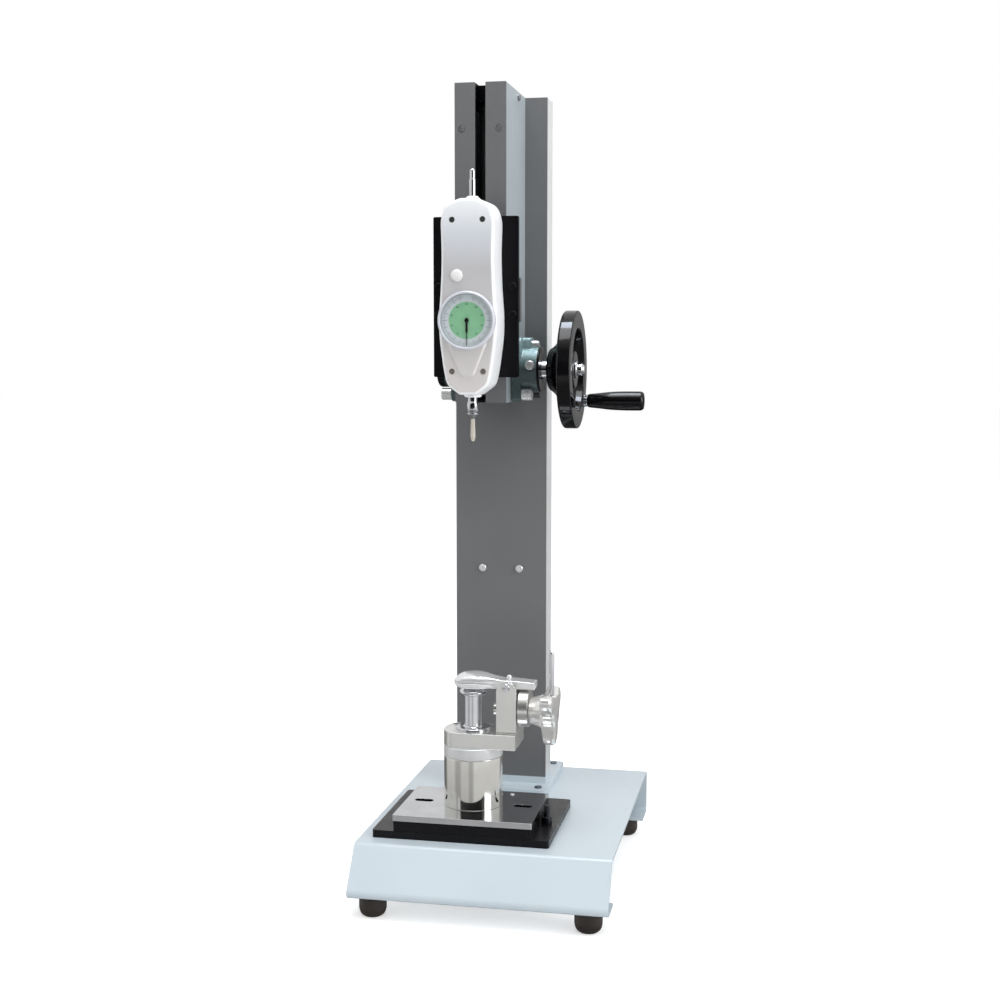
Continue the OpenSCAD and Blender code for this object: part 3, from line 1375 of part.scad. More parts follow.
lever_x = knob_start + 9.3;
lever_r = 2.75;

module lever_rod() {
    color(steel) turned_z(lever_x, gauge_y, cam_z, [
        [0, 9], [lever_r, 9], [lever_r, lever_len - 1.2], [lever_r - 1.2, lever_len], [0, lever_len]
    ]);
}

place() {
    base_channel();
    rubber_feet();
    frame_screws();
    column();
    column_panel();
    pan_screws();
    slide_housing();
    slide_strips();
    housing_caps();
    screw_bearings();
    bearing_block();
    guide_rods();
    gearbox_case();
    gearbox_cheek();
    gearbox_screws();
    boss_caps();
    shaft_bushes();
    wheel_shaft();
    drive_gear();
    handwheel();
    wheel_nut();
    crank_spindle();
    crank_grip();
    lead_screw();
    driven_gear();
    carriage();
    carriage_nut();
    gauge_plate();
    gauge_back_shell();
    gauge_front_shell();
    gauge_screws();
    gauge_chassis();
    gauge_bushes();
    lower_spring();
    upper_spring();
    gauge_shaft();
    gauge_rack();
    hook_coupling();
    test_hook();
    pointer_pinion();
    pointer();
    bezel_ring();
    dial_face();
    dial_glass();
    peak_button();
    fixture_base();
    spacer_plate();
    fixture_plate();
    lock_knob();
    pedestal();
    pedestal_ring();
    clamp_block();
    anvil_stem();
    pivot_post();
    pivot_pin();
    rocker_arm();
    clamp_foot();
    cam_shaft();
    lobed_knob();
    lever_rod();
}
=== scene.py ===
# Hand-operated force test stand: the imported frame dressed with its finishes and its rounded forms
import json
import math

import bmesh
import bpy
import numpy as np
from mathutils import Matrix, Vector


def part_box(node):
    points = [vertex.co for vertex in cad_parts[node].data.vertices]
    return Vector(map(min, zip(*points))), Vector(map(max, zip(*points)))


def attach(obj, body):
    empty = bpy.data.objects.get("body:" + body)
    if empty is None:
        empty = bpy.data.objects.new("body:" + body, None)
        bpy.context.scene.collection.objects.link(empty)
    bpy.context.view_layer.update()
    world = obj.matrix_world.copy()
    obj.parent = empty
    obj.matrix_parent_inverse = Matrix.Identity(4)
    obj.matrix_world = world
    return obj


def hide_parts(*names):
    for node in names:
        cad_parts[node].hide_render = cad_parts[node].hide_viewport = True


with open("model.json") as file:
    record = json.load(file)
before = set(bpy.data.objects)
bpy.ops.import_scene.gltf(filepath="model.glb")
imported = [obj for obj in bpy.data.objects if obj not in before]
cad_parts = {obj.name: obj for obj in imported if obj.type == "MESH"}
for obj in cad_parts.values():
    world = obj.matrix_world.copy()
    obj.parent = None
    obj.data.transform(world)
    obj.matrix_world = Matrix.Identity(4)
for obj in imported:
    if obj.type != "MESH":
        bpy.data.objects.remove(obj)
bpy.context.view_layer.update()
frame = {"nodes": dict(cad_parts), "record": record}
nodes = frame["nodes"]
bodyOf = {node: body for body, members in frame["record"]["behaviour"]["bodies"].items() for node in members}
print("frame loaded:", len(nodes), "pieces")

mm = 0.001


def span(node):
    # lowest and highest corner of a piece in millimetres
    low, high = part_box(node)
    return np.array(low) / mm, np.array(high) / mm


def tint(code):
    # a colour as it shows, turned into the linear values that a shader takes
    shown = np.array([int(code[i:i + 2], 16) for i in (1, 3, 5)]) / 255
    linear = np.where(shown <= 0.04045, shown / 12.92, ((shown + 0.055) / 1.055) ** 2.4)
    return (*linear.tolist(), 1.0)


# Surfaces: every piece is a list of (points, faces) in millimetres
def rounded(outline, reach, steps=6, closed=False):
    # each corner becomes a quadratic curve that starts and ends at most reach before the corner
    points = np.array(outline, float)
    reach = np.broadcast_to(np.array(reach, float), len(points))
    before = np.roll(points, 1, axis=0) - points
    after = np.roll(points, -1, axis=0) - points
    sizeBefore = np.linalg.norm(before, axis=1)
    sizeAfter = np.linalg.norm(after, axis=1)
    cut = np.minimum(reach, 0.48 * np.minimum(sizeBefore, sizeAfter))
    start = points + before * (cut / sizeBefore)[:, None]
    end = points + after * (cut / sizeAfter)[:, None]
    t = np.linspace(0, 1, steps)[None, :, None]
    curve = (1 - t) ** 2 * start[:, None] + 2 * t * (1 - t) * points[:, None] + t ** 2 * end[:, None]
    if closed:
        return curve.reshape(-1, points.shape[1])
    return np.vstack([points[:1], curve[1:-1].reshape(-1, points.shape[1]), points[-1:]])


def gridFaces(rows, columns, rowsClosed=False, columnsClosed=False):
    # four-cornered faces between neighbouring points of a grid
    i = np.arange(rows if rowsClosed else rows - 1)
    j = np.arange(columns if columnsClosed else columns - 1)
    i, j = np.meshgrid(i, j, indexing="ij")
    i2, j2 = (i + 1) % rows, (j + 1) % columns
    corners = [i * columns + j, i * columns + j2, i2 * columns + j2, i2 * columns + j]
    return np.stack([c.ravel() for c in corners], 1)


def turned(profile, segments=96, closed=False):
    # a profile of (radius, height) swung round the upright axis
    profile = np.array(profile, float)
    angle = np.linspace(0, 2 * np.pi, segments, endpoint=False)
    x = np.outer(profile[:, 0], np.cos(angle))
    y = np.outer(profile[:, 0], np.sin(angle))
    z = np.repeat(profile[:, 1:], segments, axis=1)
    points = np.stack([x, y, z], -1).reshape(-1, 3)
    return points, gridFaces(len(profile), segments, closed, True)


def lofted(rings, capStart=True, capEnd=True):
    # closed outlines of equal length joined one after the other, with flat lids on the ends
    rings = np.array(rings, float)
    count, size = rings.shape[:2]
    faces = gridFaces(count, size, False, True).tolist()
    if capStart:
        faces.append(list(range(size - 1, -1, -1)))
    if capEnd:
        faces.append(list(range((count - 1) * size, count * size)))
    return rings.reshape(-1, 3), faces


def swept(path, radius, sides=24):
    # a circle carried along a path in the plane of X zero, with closed ends
    path = np.array(path, float)
    radius = np.broadcast_to(np.array(radius, float), len(path))
    tangent = np.gradient(path, axis=0)
    tangent /= np.linalg.norm(tangent, axis=1)[:, None]
    side = np.array([1.0, 0, 0])
    up = np.cross(tangent, side)
    angle = np.linspace(0, 2 * np.pi, sides, endpoint=False)
    ring = np.cos(angle)[None, :, None] * side + np.sin(angle)[None, :, None] * up[:, None]
    return lofted(path[:, None] + ring * radius[:, None, None])


def facing(axis):
    # the turn that takes the upright axis to the given one
    turn = Vector((0, 0, 1)).rotation_difference(Vector(axis)).to_matrix()
    return np.array(turn)


def placed(part, at, axis=(0, 0, 1)):
    points, faces = part
    return points @ facing(axis).T + np.array(at, float), faces


def inward(outline, distance):
    # an outline moved in along its own normals; it runs anticlockwise
    ahead = np.roll(outline, -1, axis=0) - np.roll(outline, 1, axis=0)
    ahead /= np.linalg.norm(ahead, axis=1)[:, None]
    return outline + distance * np.stack([-ahead[:, 1], ahead[:, 0]], 1)


# Pieces
def dress(node, material):
    # a CAD piece keeps its shape and takes the material
    mesh = nodes[node].data
    mesh.materials.clear()
    mesh.materials.append(material)


def added(name, data):
    # a new object in the scene
    piece = bpy.data.objects.new(name, data)
    bpy.context.scene.collection.objects.link(piece)
    return piece


def smoothed(mesh, edge):
    # smooth shading that stays sharp where faces meet at more than an angle in degrees
    mesh.shade_smooth()
    mesh.set_sharp_from_angle(angle=math.radians(edge))


def joined(name, parts, near=1e-6):
    # parts in millimetres become one mesh whose faces all point outwards
    points, faces, offset = [], [], 0
    for corners, polygons in parts:
        points.append(np.array(corners, float))
        faces += [[int(k) + offset for k in polygon] for polygon in polygons]
        offset += len(corners)
    mesh = bpy.data.meshes.new(name)
    mesh.from_pydata((np.vstack(points) * mm).tolist(), [], faces)
    shape = bmesh.new()
    shape.from_mesh(mesh)
    bmesh.ops.remove_doubles(shape, verts=shape.verts, dist=near)
    bmesh.ops.recalc_face_normals(shape, faces=shape.faces)
    shape.to_mesh(mesh)
    shape.free()
    return mesh


def stand(mesh, name, material, body, stands, edge):
    # a mesh becomes a piece that rides a body and stands in for CAD pieces
    mesh.materials.clear()
    mesh.materials.append(material)
    smoothed(mesh, edge)
    piece = added(name, mesh)
    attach(piece, body)
    if stands:
        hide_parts(*stands)
    return piece


def make(name, parts, material, stands=(), body=None, edge=32):
    return stand(joined(name, parts), name, material, body or bodyOf[stands[0]], stands, edge)


def welded(node, flat=True):
    # a copy of a CAD piece with its triangles joined, and merged where they lie in one plane
    mesh = nodes[node].data.copy()
    shape = bmesh.new()
    shape.from_mesh(mesh)
    bmesh.ops.remove_doubles(shape, verts=shape.verts, dist=2e-6)
    if flat:
        bmesh.ops.dissolve_limit(
            shape, angle_limit=math.radians(0.4), verts=shape.verts, edges=shape.edges)
    shape.to_mesh(mesh)
    shape.free()
    return mesh


def broken(node, material, width, edge=32):
    # a CAD piece whose sharp edges are broken, as a maker leaves them
    piece = stand(welded(node), node + "_edged", material, bodyOf[node], [node], edge)
    bevel = piece.modifiers.new("edges", "BEVEL")
    bevel.width = width * mm
    bevel.segments = 2
    bevel.limit_method = "ANGLE"
    bevel.angle_limit = math.radians(edge)
    bevel.harden_normals = True
    bevel.use_clamp_overlap = True
    level = piece.modifiers.new("level", "WEIGHTED_NORMAL")
    level.keep_sharp = True
    return piece


def meshOf(piece):
    # the shape that an object shows, as a mesh of its own
    bpy.context.view_layer.update()
    return bpy.data.meshes.new_from_object(piece.evaluated_get(bpy.context.evaluated_depsgraph_get()))


def baked(piece):
    # the piece with its modifiers worked into the mesh
    mesh = meshOf(piece)
    piece.modifiers.clear()
    piece.data = mesh
    return mesh


def cast(node, material, spec):
    # a CAD piece with the soft edges and fillets of a casting
    piece = stand(welded(node, flat=False), node + "_cast", material, bodyOf[node], [node], spec["edge"])
    remesh = piece.modifiers.new("skin", "REMESH")
    remesh.mode = "VOXEL"
    remesh.voxel_size = spec["grain"] * mm
    smooth = piece.modifiers.new("soften", "SMOOTH")
    smooth.factor = 0.5
    smooth.iterations = spec["soften"]
    smoothed(baked(piece), spec["edge"])


def carve(piece, cutters, edge):
    # hollows cut by turned solids, worked into the mesh
    cutter = added("cutter", joined("cutter", cutters, 1e-7))
    cut = piece.modifiers.new("cut", "BOOLEAN")
    cut.operation = "DIFFERENCE"
    cut.solver = "EXACT"
    cut.object = cutter
    smoothed(baked(piece), edge)
    bpy.data.objects.remove(cutter)


# Shader maths: a wire is one socket, and sums and products of wires add their nodes
class Wire:
    def __init__(self, finish, socket):
        self.finish = finish
        self.socket = socket

    def maths(self, operation, first, second):
        return self.finish.maths(operation, first, second)

    def __add__(self, other):
        return self.maths("ADD", self, other)

    def __sub__(self, other):
        return self.maths("SUBTRACT", self, other)

    def __rsub__(self, other):
        return self.maths("SUBTRACT", other, self)

    def __mul__(self, other):
        return self.maths("MULTIPLY", self, other)

    def __rmul__(self, other):
        return self.maths("MULTIPLY", other, self)

    def __gt__(self, other):
        return self.maths("GREATER_THAN", self, other)

    def __lt__(self, other):
        return self.maths("LESS_THAN", self, other)

    def __pow__(self, other):
        return self.maths("POWER", self, other)

    def __abs__(self):
        return self.maths("ABSOLUTE", self, 0.0)


class Finish:
    # one material or one world: node() adds any node, set() fills sockets of the main shader
    def __init__(self, name, world=None):
        self.material = world or bpy.data.materials.new(name)
        self.material.use_nodes = True
        self.tree = self.material.node_tree
        self.shader = self.tree.nodes["Background" if world else "Principled BSDF"]
        self.output = self.tree.nodes["World Output" if world else "Material Output"]
        self.place = self.node("ShaderNodeTexCoord", {}, {}, "Generated" if world else "Object")

    def node(self, kind, settings, sockets, out=0):
        node = self.tree.nodes.new(kind)
        for key, value in settings.items():
            if key == "stops":
                ramp = node.color_ramp
                while len(ramp.elements) < len(value):
                    ramp.elements.new(0.5)
                for element, (position, colour) in zip(ramp.elements, value):
                    element.position = position
                    element.color = colour
            else:
                setattr(node, key, value)
        for key, value in sockets.items():
            self.join(node.inputs[key], value)
        return Wire(self, node.outputs[out])

    def maths(self, operation, first, second=0.0):
        return self.node("ShaderNodeMath", {"operation": operation}, {0: first, 1: second})

    def join(self, socket, value):
        if isinstance(value, Wire):
            self.tree.links.new(value.socket, socket)
        else:
            socket.default_value = value

    def set(self, **values):
        for key, value in values.items():
            self.join(self.shader.inputs[key.replace("_", " ")], value)
        return self

    def scaled(self, x, y, z):
        # the place measured in metres, stretched by a factor along each axis
        return self.node("ShaderNodeMapping", {}, {"Vector": self.place, "Scale": (x, y, z)})

    def noise(self, scale, detail=3.0, where=None, roughness=0.5):
        return self.node("ShaderNodeTexNoise", {}, {
            "Vector": where or self.place, "Scale": scale, "Detail": detail, "Roughness": roughness})

    def ramp(self, value, low, high, fromLow=0.3, fromHigh=0.7):
        # a number carried from one span to another
        return self.node("ShaderNodeMapRange", {}, {
            "Value": value, "From Min": fromLow, "From Max": fromHigh, "To Min": low, "To Max": high})

    def mix(self, share, first, second):
        return self.node("ShaderNodeMix", {"data_type": "RGBA"}, {"Factor": share, 6: first, 7: second}, 2)

    def tones(self, share, first, second):
        # two colours in the clouds of a noise
        return self.mix(self.ramp(share, 0.0, 1.0), tint(first), tint(second))

    def apart(self):
        # the three parts of the place, in metres
        split = self.node("ShaderNodeSeparateXYZ", {}, {"Vector": self.place}, "X")
        outs = split.socket.node.outputs
        return split, Wire(self, outs["Y"]), Wire(self, outs["Z"])

    def bump(self, height, strength, distance):
        return self.node("ShaderNodeBump", {}, {
            "Height": height, "Strength": strength, "Distance": distance}, "Normal")


def coat(name, tones, cloud, gloss, relief, rise=None, **values):
    # two clouded tones, a wandering gloss and a fine relief; each is a noise's scale and detail
    # rise stretches the gloss marks upwards
    f = Finish(name)
    where = rise and f.scaled(1.0, 1.0, rise)
    f.set(Base_Color=f.tones(f.noise(*cloud), *tones),
          Roughness=f.ramp(f.noise(*gloss[0], where), *gloss[1]),
          Normal=f.bump(f.noise(*relief[0]), *relief[1]), **values)
    return f.material


def paint(name, colour, shade, rough=0.36, peel=0.1):
    # stoved paint: faint cloudiness, fine orange peel and hand marks in the gloss
    return coat(name, (colour, shade), (5.0, 4.0), ((28.0, 5.0), (rough - 0.05, rough + 0.07)),
                ((700.0, 2.0), (peel, 0.0001)), rise=0.35, Coat_Weight=0.25, Coat_Roughness=0.22)


def columnFinish(name, flangeTop):
    # pale grey paint on the tube with painted light that makes it lighter in its upper half, and the base's
    # bluer paint on its foot flange
    f = Finish(name)
    z = f.apart()[2]
    cloud = f.ramp(f.noise(5.0, 4.0), 0.0, 1.0)
    low = f.mix(cloud, tint("#d6d9d9"), tint("#ced1d1"))
    # painted light: the upper half takes a lighter copy of the same paint
    high = f.mix(cloud, tint("#eceeee"), tint("#e5e7e7"))
    tube = f.mix(f.ramp(z, 0.0, 1.0, 0.4, 0.56), low, high)
    flange = f.mix(cloud, tint("#cfdbe2"), tint("#c8d4dc"))
    f.set(Base_Color=f.mix(z < flangeTop * mm, tube, flange),
          Roughness=f.ramp(f.noise(28.0, 5.0), 0.31, 0.43),
          Normal=f.bump(f.noise(700.0, 2.0), 0.1, 0.0001), Coat_Weight=0.25, Coat_Roughness=0.22)
    return f.material


def blackPaint(name, colour="#0b0b0e", lift="#111114", rough=0.3, grain=900.0, level=0.3):
    return coat(name, (colour, lift), (14.0, 5.0), ((45.0, 5.0), (rough - 0.06, rough + 0.1)),
                ((grain, 2.0), (0.12, 0.0001)), Specular_IOR_Level=level)


def chrome(name, colour="#dcdde0", deep="#cbccd0", rough=0.07, stretch=(1.0, 1.0, 1.0), lines=600.0):
    # bright plating with hairline polishing marks and a breath of haze
    f = Finish(name)
    marks = f.noise(lines, 3.0, f.scaled(*stretch))
    haze = f.noise(30.0, 5.0)
    f.set(Base_Color=f.tones(haze, colour, deep), Metallic=1.0,
          Roughness=f.ramp(haze, rough - 0.03, rough + 0.06) + f.ramp(marks, 0.0, 0.04),
          Normal=f.bump(marks, 0.05, 0.00005))
    return f.material


def ground(name, colour="#aeaba5", deep="#8d8a84", rough=0.3, stretch=(1.0, 1.0, 12.0), metal=1.0):
    # ground or brushed metal: fine lines along one axis
    f = Finish(name)
    marks = f.noise(900.0, 4.0, f.scaled(*stretch))
    cloud = f.noise(22.0, 4.0)
    share = f.ramp(marks, 0.0, 0.6) + f.ramp(cloud, 0.0, 0.4)
    f.set(Base_Color=f.mix(share, tint(colour), tint(deep)), Metallic=metal,
          Roughness=f.ramp(marks, rough - 0.07, rough + 0.08), Normal=f.bump(marks, 0.16, 0.00008))
    return f.material


def hammered(name):
    # hammer enamel: shallow round dimples with metal flake, with painted shade that darkens the castings'
    # undersides
    f = Finish(name)
    wander = f.node("ShaderNodeVectorMath", {"operation": "MULTIPLY_ADD"}, {
        0: f.node("ShaderNodeTexNoise", {}, {"Vector": f.place, "Scale": 160.0, "Detail": 2.0}, "Color"),
        1: (0.004, 0.004, 0.004), 2: f.place})
    dimple = f.node("ShaderNodeTexVoronoi", {"feature": "SMOOTH_F1"}, {
        "Vector": wander, "Scale": 420.0, "Smoothness": 0.9})
    flake = f.noise(2200.0, 2.0)
    cloud = f.noise(18.0, 3.0)
    z = f.apart()[2]
    body = f.mix(f.ramp(dimple, 0.0, 1.0, 0.15, 0.7), tint("#93b5b8"), tint("#b2cfd1"))
    body = f.mix(f.ramp(cloud, 0.0, 0.25), body, tint("#769799"))
    body = f.mix(f.ramp(flake, 0.0, 0.3, 0.5, 0.75), body, tint("#c6d6d8"))
    # painted shade: below a height the enamel fades to near black
    body = f.mix(f.ramp(z, 0.84, 0.0, 0.548, 0.568), body, tint("#0c1717"))
    f.set(Base_Color=body, Metallic=0.2, Roughness=f.ramp(dimple, 0.47, 0.38, 0.1, 0.8),
          Normal=f.bump(dimple, 0.3, 0.0004), Coat_Weight=0.3, Coat_Roughness=0.14)
    return f.material


def glossBlack(name):
    # moulded black phenolic, buffed: nearly a mirror, with a faint ripple and finger marks
    f = Finish(name)
    marks = f.noise(38.0, 6.0, roughness=0.65)
    f.set(Base_Color=f.tones(f.noise(9.0), "#08080a", "#0e0d10"),
          Roughness=f.ramp(marks, 0.1, 0.19, 0.4, 0.75), Specular_IOR_Level=0.36,
          Normal=f.bump(f.noise(160.0, 2.0), 0.04, 0.0003))
    return f.material


def shellPlastic(name, colour, shade, rough, grain):
    # fine spark texture of moulded white plastic
    return coat(name, (colour, shade), (11.0, 3.0), ((60.0, 4.0), (rough - 0.05, rough + 0.06)),
                ((2400.0, 2.0), (grain, 0.0001)),
                Subsurface_Weight=0.06, Subsurface_Radius=(0.004, 0.003, 0.002))


def gaugeShell(name, spec):
    # white moulding with a spark texture, with painted light and shade: its flat front is greyer at the
    # waist, warmer at the foot and whiter at the crown, and its sides are painted lighter as if lit
    f = Finish(name)
    z = f.apart()[2]
    cloud = f.noise(11.0, 3.0)
    low, high = spec["foot"][0], spec["crown"][0]
    # painted light and shade: the front's tone changes with height
    height = f.ramp(z, 0.0, 1.0, low * mm, high * mm)
    levels = [spec[key] for key in ("foot", "waist", "shoulder", "crown")]
    stops = [((level - low) / (high - low), tint(colour)) for level, colour in levels]
    front = f.node("ShaderNodeValToRGB", {"stops": stops}, {"Fac": height})
    front = f.mix(f.ramp(cloud, 0.0, 0.12), front, tint(spec["cloud"]))
    # how squarely the surface looks to the front; faces turned away take the side colour, a painted highlight
    # on the lit sides
    way = f.node("ShaderNodeSeparateXYZ", {}, {
        "Vector": Wire(f, f.place.socket.node.outputs["Normal"])}, "Y")
    flat = f.ramp(way, 1.0, 0.0, -0.99, spec["edge"])
    f.set(Base_Color=f.mix(flat, tint(spec["side"]), front),
          Roughness=f.ramp(f.noise(60.0, 4.0), 0.34, 0.46),
          Normal=f.bump(f.noise(2400.0, 2.0), 0.14, 0.0001),
          Subsurface_Weight=0.05, Subsurface_Radius=(0.004, 0.003, 0.002))
    return f.material


def bronze(name):
    f = Finish(name)
    marks = f.noise(800.0, 3.0, f.scaled(1, 1, 8))
    f.set(Base_Color=f.tones(marks, "#b98f55", "#8f6c3d"), Metallic=1.0,
          Roughness=f.ramp(marks, 0.22, 0.38), Normal=f.bump(marks, 0.12, 0.0001))
    return f.material


def window(name):
    # a thin clear window: see-through, with a mirror that grows towards the edge of sight
    f = Finish(name)
    clear = f.node("ShaderNodeBsdfTransparent", {}, {"Color": (0.97, 0.985, 0.98, 1)})
    mirror = f.node("ShaderNodeBsdfGlossy", {}, {"Color": (1, 1, 1, 1), "Roughness": 0.03})
    slant = f.node("ShaderNodeLayerWeight", {}, {"Blend": 0.5}, "Facing")
    share = slant ** 5.0 * 0.9 + 0.035
    f.join(f.output.inputs["Surface"], f.node("ShaderNodeMixShader", {}, {0: share, 1: clear, 2: mirror}))
    return f.material


def dialPrint(name, spec, centre):
    # printed dial: green centre, grey scale ring with division lines, all from radius and angle
    f = Finish(name)
    x, _, z = f.apart()
    x = (x - centre[0] * mm) * (1 / mm)
    z = (z - centre[2] * mm) * (1 / mm)
    radius = (x * x + z * z) ** 0.5
    turn = f.maths("ARCTAN2", x, -1.0 * z) * (1 / (2 * math.pi))

    def line(count, inner, outer, width):
        # marks at equal angles from straight down, between two radii
        step = turn * count
        off = abs(step - f.maths("ROUND", step))
        across = off * radius * (2 * math.pi / count)
        return (across < width / 2) * (radius > inner) * (radius < outer)

    used = abs(turn) < 0.5 - spec["gap"] / 360
    fine = line(spec["divisions"], spec["fine"][0], spec["fine"][1], 0.22)
    coarse = line(spec["divisions"] / 5, spec["coarse"][0], spec["coarse"][1], 0.36)
    circle = abs(radius - spec["circle"]) < 0.12
    ink = f.maths("MAXIMUM", fine, coarse) * used + circle
    grain = f.noise(90.0, 4.0)
    ring = f.tones(grain, "#dfe2e7", "#d4d8de")
    green = f.tones(grain, "#98cfa7", "#8fc69d")
    face = f.mix(radius < spec["green"], ring, green)
    f.set(Base_Color=f.mix(ink, face, tint("#23303a")), Roughness=f.ramp(f.noise(300.0), 0.42, 0.55))
    return f.material


def screwFinish(name, light, dark, share):
    # blued or plated screws; share is a function of the place and is one where they are light
    f = Finish(name)
    marks = f.ramp(f.noise(900.0, 3.0), 0.0, 0.12)
    f.set(Base_Color=f.mix(marks, f.mix(share(*f.apart()), tint(dark), tint(light)), tint("#2c2c2e")),
          Metallic=0.6, Roughness=f.ramp(marks, 0.24, 0.34, 0.0, 0.12), Specular_IOR_Level=0.25)
    return f.material


def caseScrewFinish(name, spec):
    # dark screws in the plate; in the case they are grey above the dial and brownish below it
    f = Finish(name)
    x, _, z = f.apart()
    marks = f.ramp(f.noise(900.0, 3.0), 0.0, 0.25)
    case = f.mix(z > spec["dialZ"] * mm, tint(spec["low"]), tint(spec["high"]))
    colour = f.mix(abs(x - spec["axisX"] * mm) > spec["caseHalf"] * mm, case, tint(spec["plate"]))
    f.set(Base_Color=f.mix(marks, colour, tint("#2c2c2e")), Metallic=0.5,
          Roughness=f.ramp(marks, 0.34, 0.42, 0.0, 0.25), Specular_IOR_Level=0.25)
    return f.material


def inkFinish(name):
    f = Finish(name)
    f.set(Base_Color=f.tones(f.noise(50.0), "#0a0a0a", "#141313"), Roughness=0.7)
    return f.material


# Finishes
basePaint = paint("base paint", "#cfdbe2", "#c8d4dc")
housingPaint = paint("housing paint", "#b3bec3", "#abb6bb")
columnPaint = columnFinish("column paint with painted light", span("column")[0][2] + 14)
darkPaint = paint("dark panel paint", "#737476", "#6b6c6e", rough=0.4, peel=0.16)
greenEnamel = hammered("hammered green enamel with painted shade")
blackEnamel = blackPaint("black enamel", rough=0.26, level=0.2)
blackPlate = blackPaint("blackened plate", "#08080b", "#0c0c10", 0.4, 1400.0, level=0.16)
blackGloss = glossBlack("black phenolic")
brightChrome = chrome("bright chrome")
plateChrome = chrome("plate chrome", "#d3d4d6", "#c3c4c6", 0.11, (1.0, 14.0, 1.0), 500.0)
knobChrome = ground("knob plating", "#f7f6f4", "#eae8e5", 0.15, metal=0.6)
armChrome = ground("arm plating", "#f1f1f2", "#e4e4e5", 0.18, metal=0.55)
pedestalChrome = chrome("pedestal chrome", "#e3e2dd", "#d6d5d0")
satinSteel = ground("satin steel", "#efefec", "#dbdbd8", 0.19, (1.0, 10.0, 10.0), metal=0.82)
satinRing = ground("satin ring steel", "#e6e7e8", "#d6d7d8", 0.34, (1.0, 1.0, 16.0), metal=0.45)
groundSteel = ground("ground steel")
darkSteel = ground("blackened steel", "#45464a", "#2c2d30", 0.34)
frameScrews = screwFinish("frame screw steel", "#59636a", "#1d1d20", lambda x, y, z: (y > 0.0) + (z > 0.7))
panScrews = screwFinish("pan screw steel", "#ececec", "#8c8d90", lambda x, y, z: z < 0.6)
gearboxScrews = screwFinish("gearbox screw steel", "#f4f4f4", "#3a3d40", lambda x, y, z: y < 0.035)
caseScrews = caseScrewFinish("case screw steel", {
    "axisX": -28.5, "dialZ": 597.9, "caseHalf": 32.0,
    "low": "#938d87", "high": "#515153", "plate": "#0e0e11"})
aluminium = ground("milled aluminium", "#9fa1a4", "#85878a", 0.38)
bearingBronze = bronze("bearing bronze")
# painted light and shade on the shell: front tones by height (foot, waist, shoulder, crown) and the painted
# lit colour of the sides
shellPaintedLightSpec = {
    "foot": (520, "#d9d5d3"), "waist": (650, "#c2c2c4"), "shoulder": (685, "#d6dbe2"),
    "crown": (716, "#fafdff"),
    "side": "#f8fafd", "cloud": "#c6c3c5", "edge": -0.86}
panelPaintedLightSpec = dict(shellPaintedLightSpec, side="#e2dfde", edge=-0.9)
whiteShellPaintedLight = gaugeShell("white shell plastic with painted light", shellPaintedLightSpec)
panelShellPaintedLight = gaugeShell("raised panel plastic with painted light", panelPaintedLightSpec)
whiteButton = shellPlastic("white button plastic", "#f4f4f4", "#ebebea", 0.3, 0.05)
bezelPlastic = shellPlastic("bezel plastic", "#dadde3", "#cdd0d8", 0.2, 0.02)
hookWhite = shellPlastic("hook plating", "#d8d3c6", "#c4beb0", 0.3, 0.05)
footRubber = coat("foot rubber", ("#27211e", "#38302c"), (40.0, 4.0), ((120.0, 4.0), (0.3, 0.46)),
                  ((1500.0, 3.0), (0.2, 0.0001)))
clearWindow = window("clear window")
inkBlack = inkFinish("pointer and print ink")
print("finishes made")

# Pieces that keep their shape
plain = {
    groundSteel: ["screw_bearings", "guide_rods", "drive_gear", "driven_gear", "lead_screw", "gauge_chassis",
                  "lower_spring", "upper_spring"],
    aluminium: ["bearing_block", "carriage"],
    bearingBronze: ["shaft_bushes", "carriage_nut", "gauge_bushes", "gauge_rack"],
    blackPlate: ["pointer_pinion"],
}
for material, names in plain.items():
    for node in names:
        dress(node, material)

# Sheet metal, plates and machined blocks with their edges broken
edged = [
    ("base_channel", basePaint, 0.7), ("column", columnPaint, 0.8), ("column_panel", darkPaint, 0.5),
    ("slide_housing", housingPaint, 1.6), ("slide_strips", darkPaint, 0.5),
    ("housing_caps", blackEnamel, 0.5), ("gauge_plate", blackPlate, 0.6), ("fixture_base", blackEnamel, 0.8),
    ("spacer_plate", blackEnamel, 0.5), ("fixture_plate", plateChrome, 0.8), ("clamp_block", satinSteel, 0.7),
    ("pivot_post", satinSteel, 0.7), ("cam_shaft", satinSteel, 0.4), ("pivot_pin", brightChrome, 0.3),
    ("frame_screws", frameScrews, 0.35), ("pan_screws", panScrews, 0.3),
    ("gearbox_screws", gearboxScrews, 0.5), ("gauge_screws", caseScrews, 0.25), ("lock_knob", darkSteel, 0.5),
    ("crank_spindle", brightChrome, 0.3), ("pointer", inkBlack, 0.08),
]
for node, material, width in edged:
    broken(node, material, width)
print("edged pieces made:", len(edged))

# Castings
castSpec = {"grain": 0.6, "soften": 6, "edge": 60}
for node in ["gearbox_case", "gearbox_cheek"]:
    cast(node, greenEnamel, castSpec)
print("castings made")


# Turned pieces, each between the ends that the frame gives; a profile is a list of (radius, height)
def turnedRing(profile, reach, segments):
    return turned(rounded(profile, reach, closed=True), segments, True)


def turnedPiece(node, material, profile, reach=0.6, axis=(0, 0, 1), segments=96, closed=False):
    low, high = span(node)
    centre = (low + high) / 2
    along = axis.index(1)
    centre[along] = low[along]
    part = turned(rounded(profile, reach, closed=closed), segments, closed)
    make(node + "_turned", [placed(part, centre, axis)], material, [node])


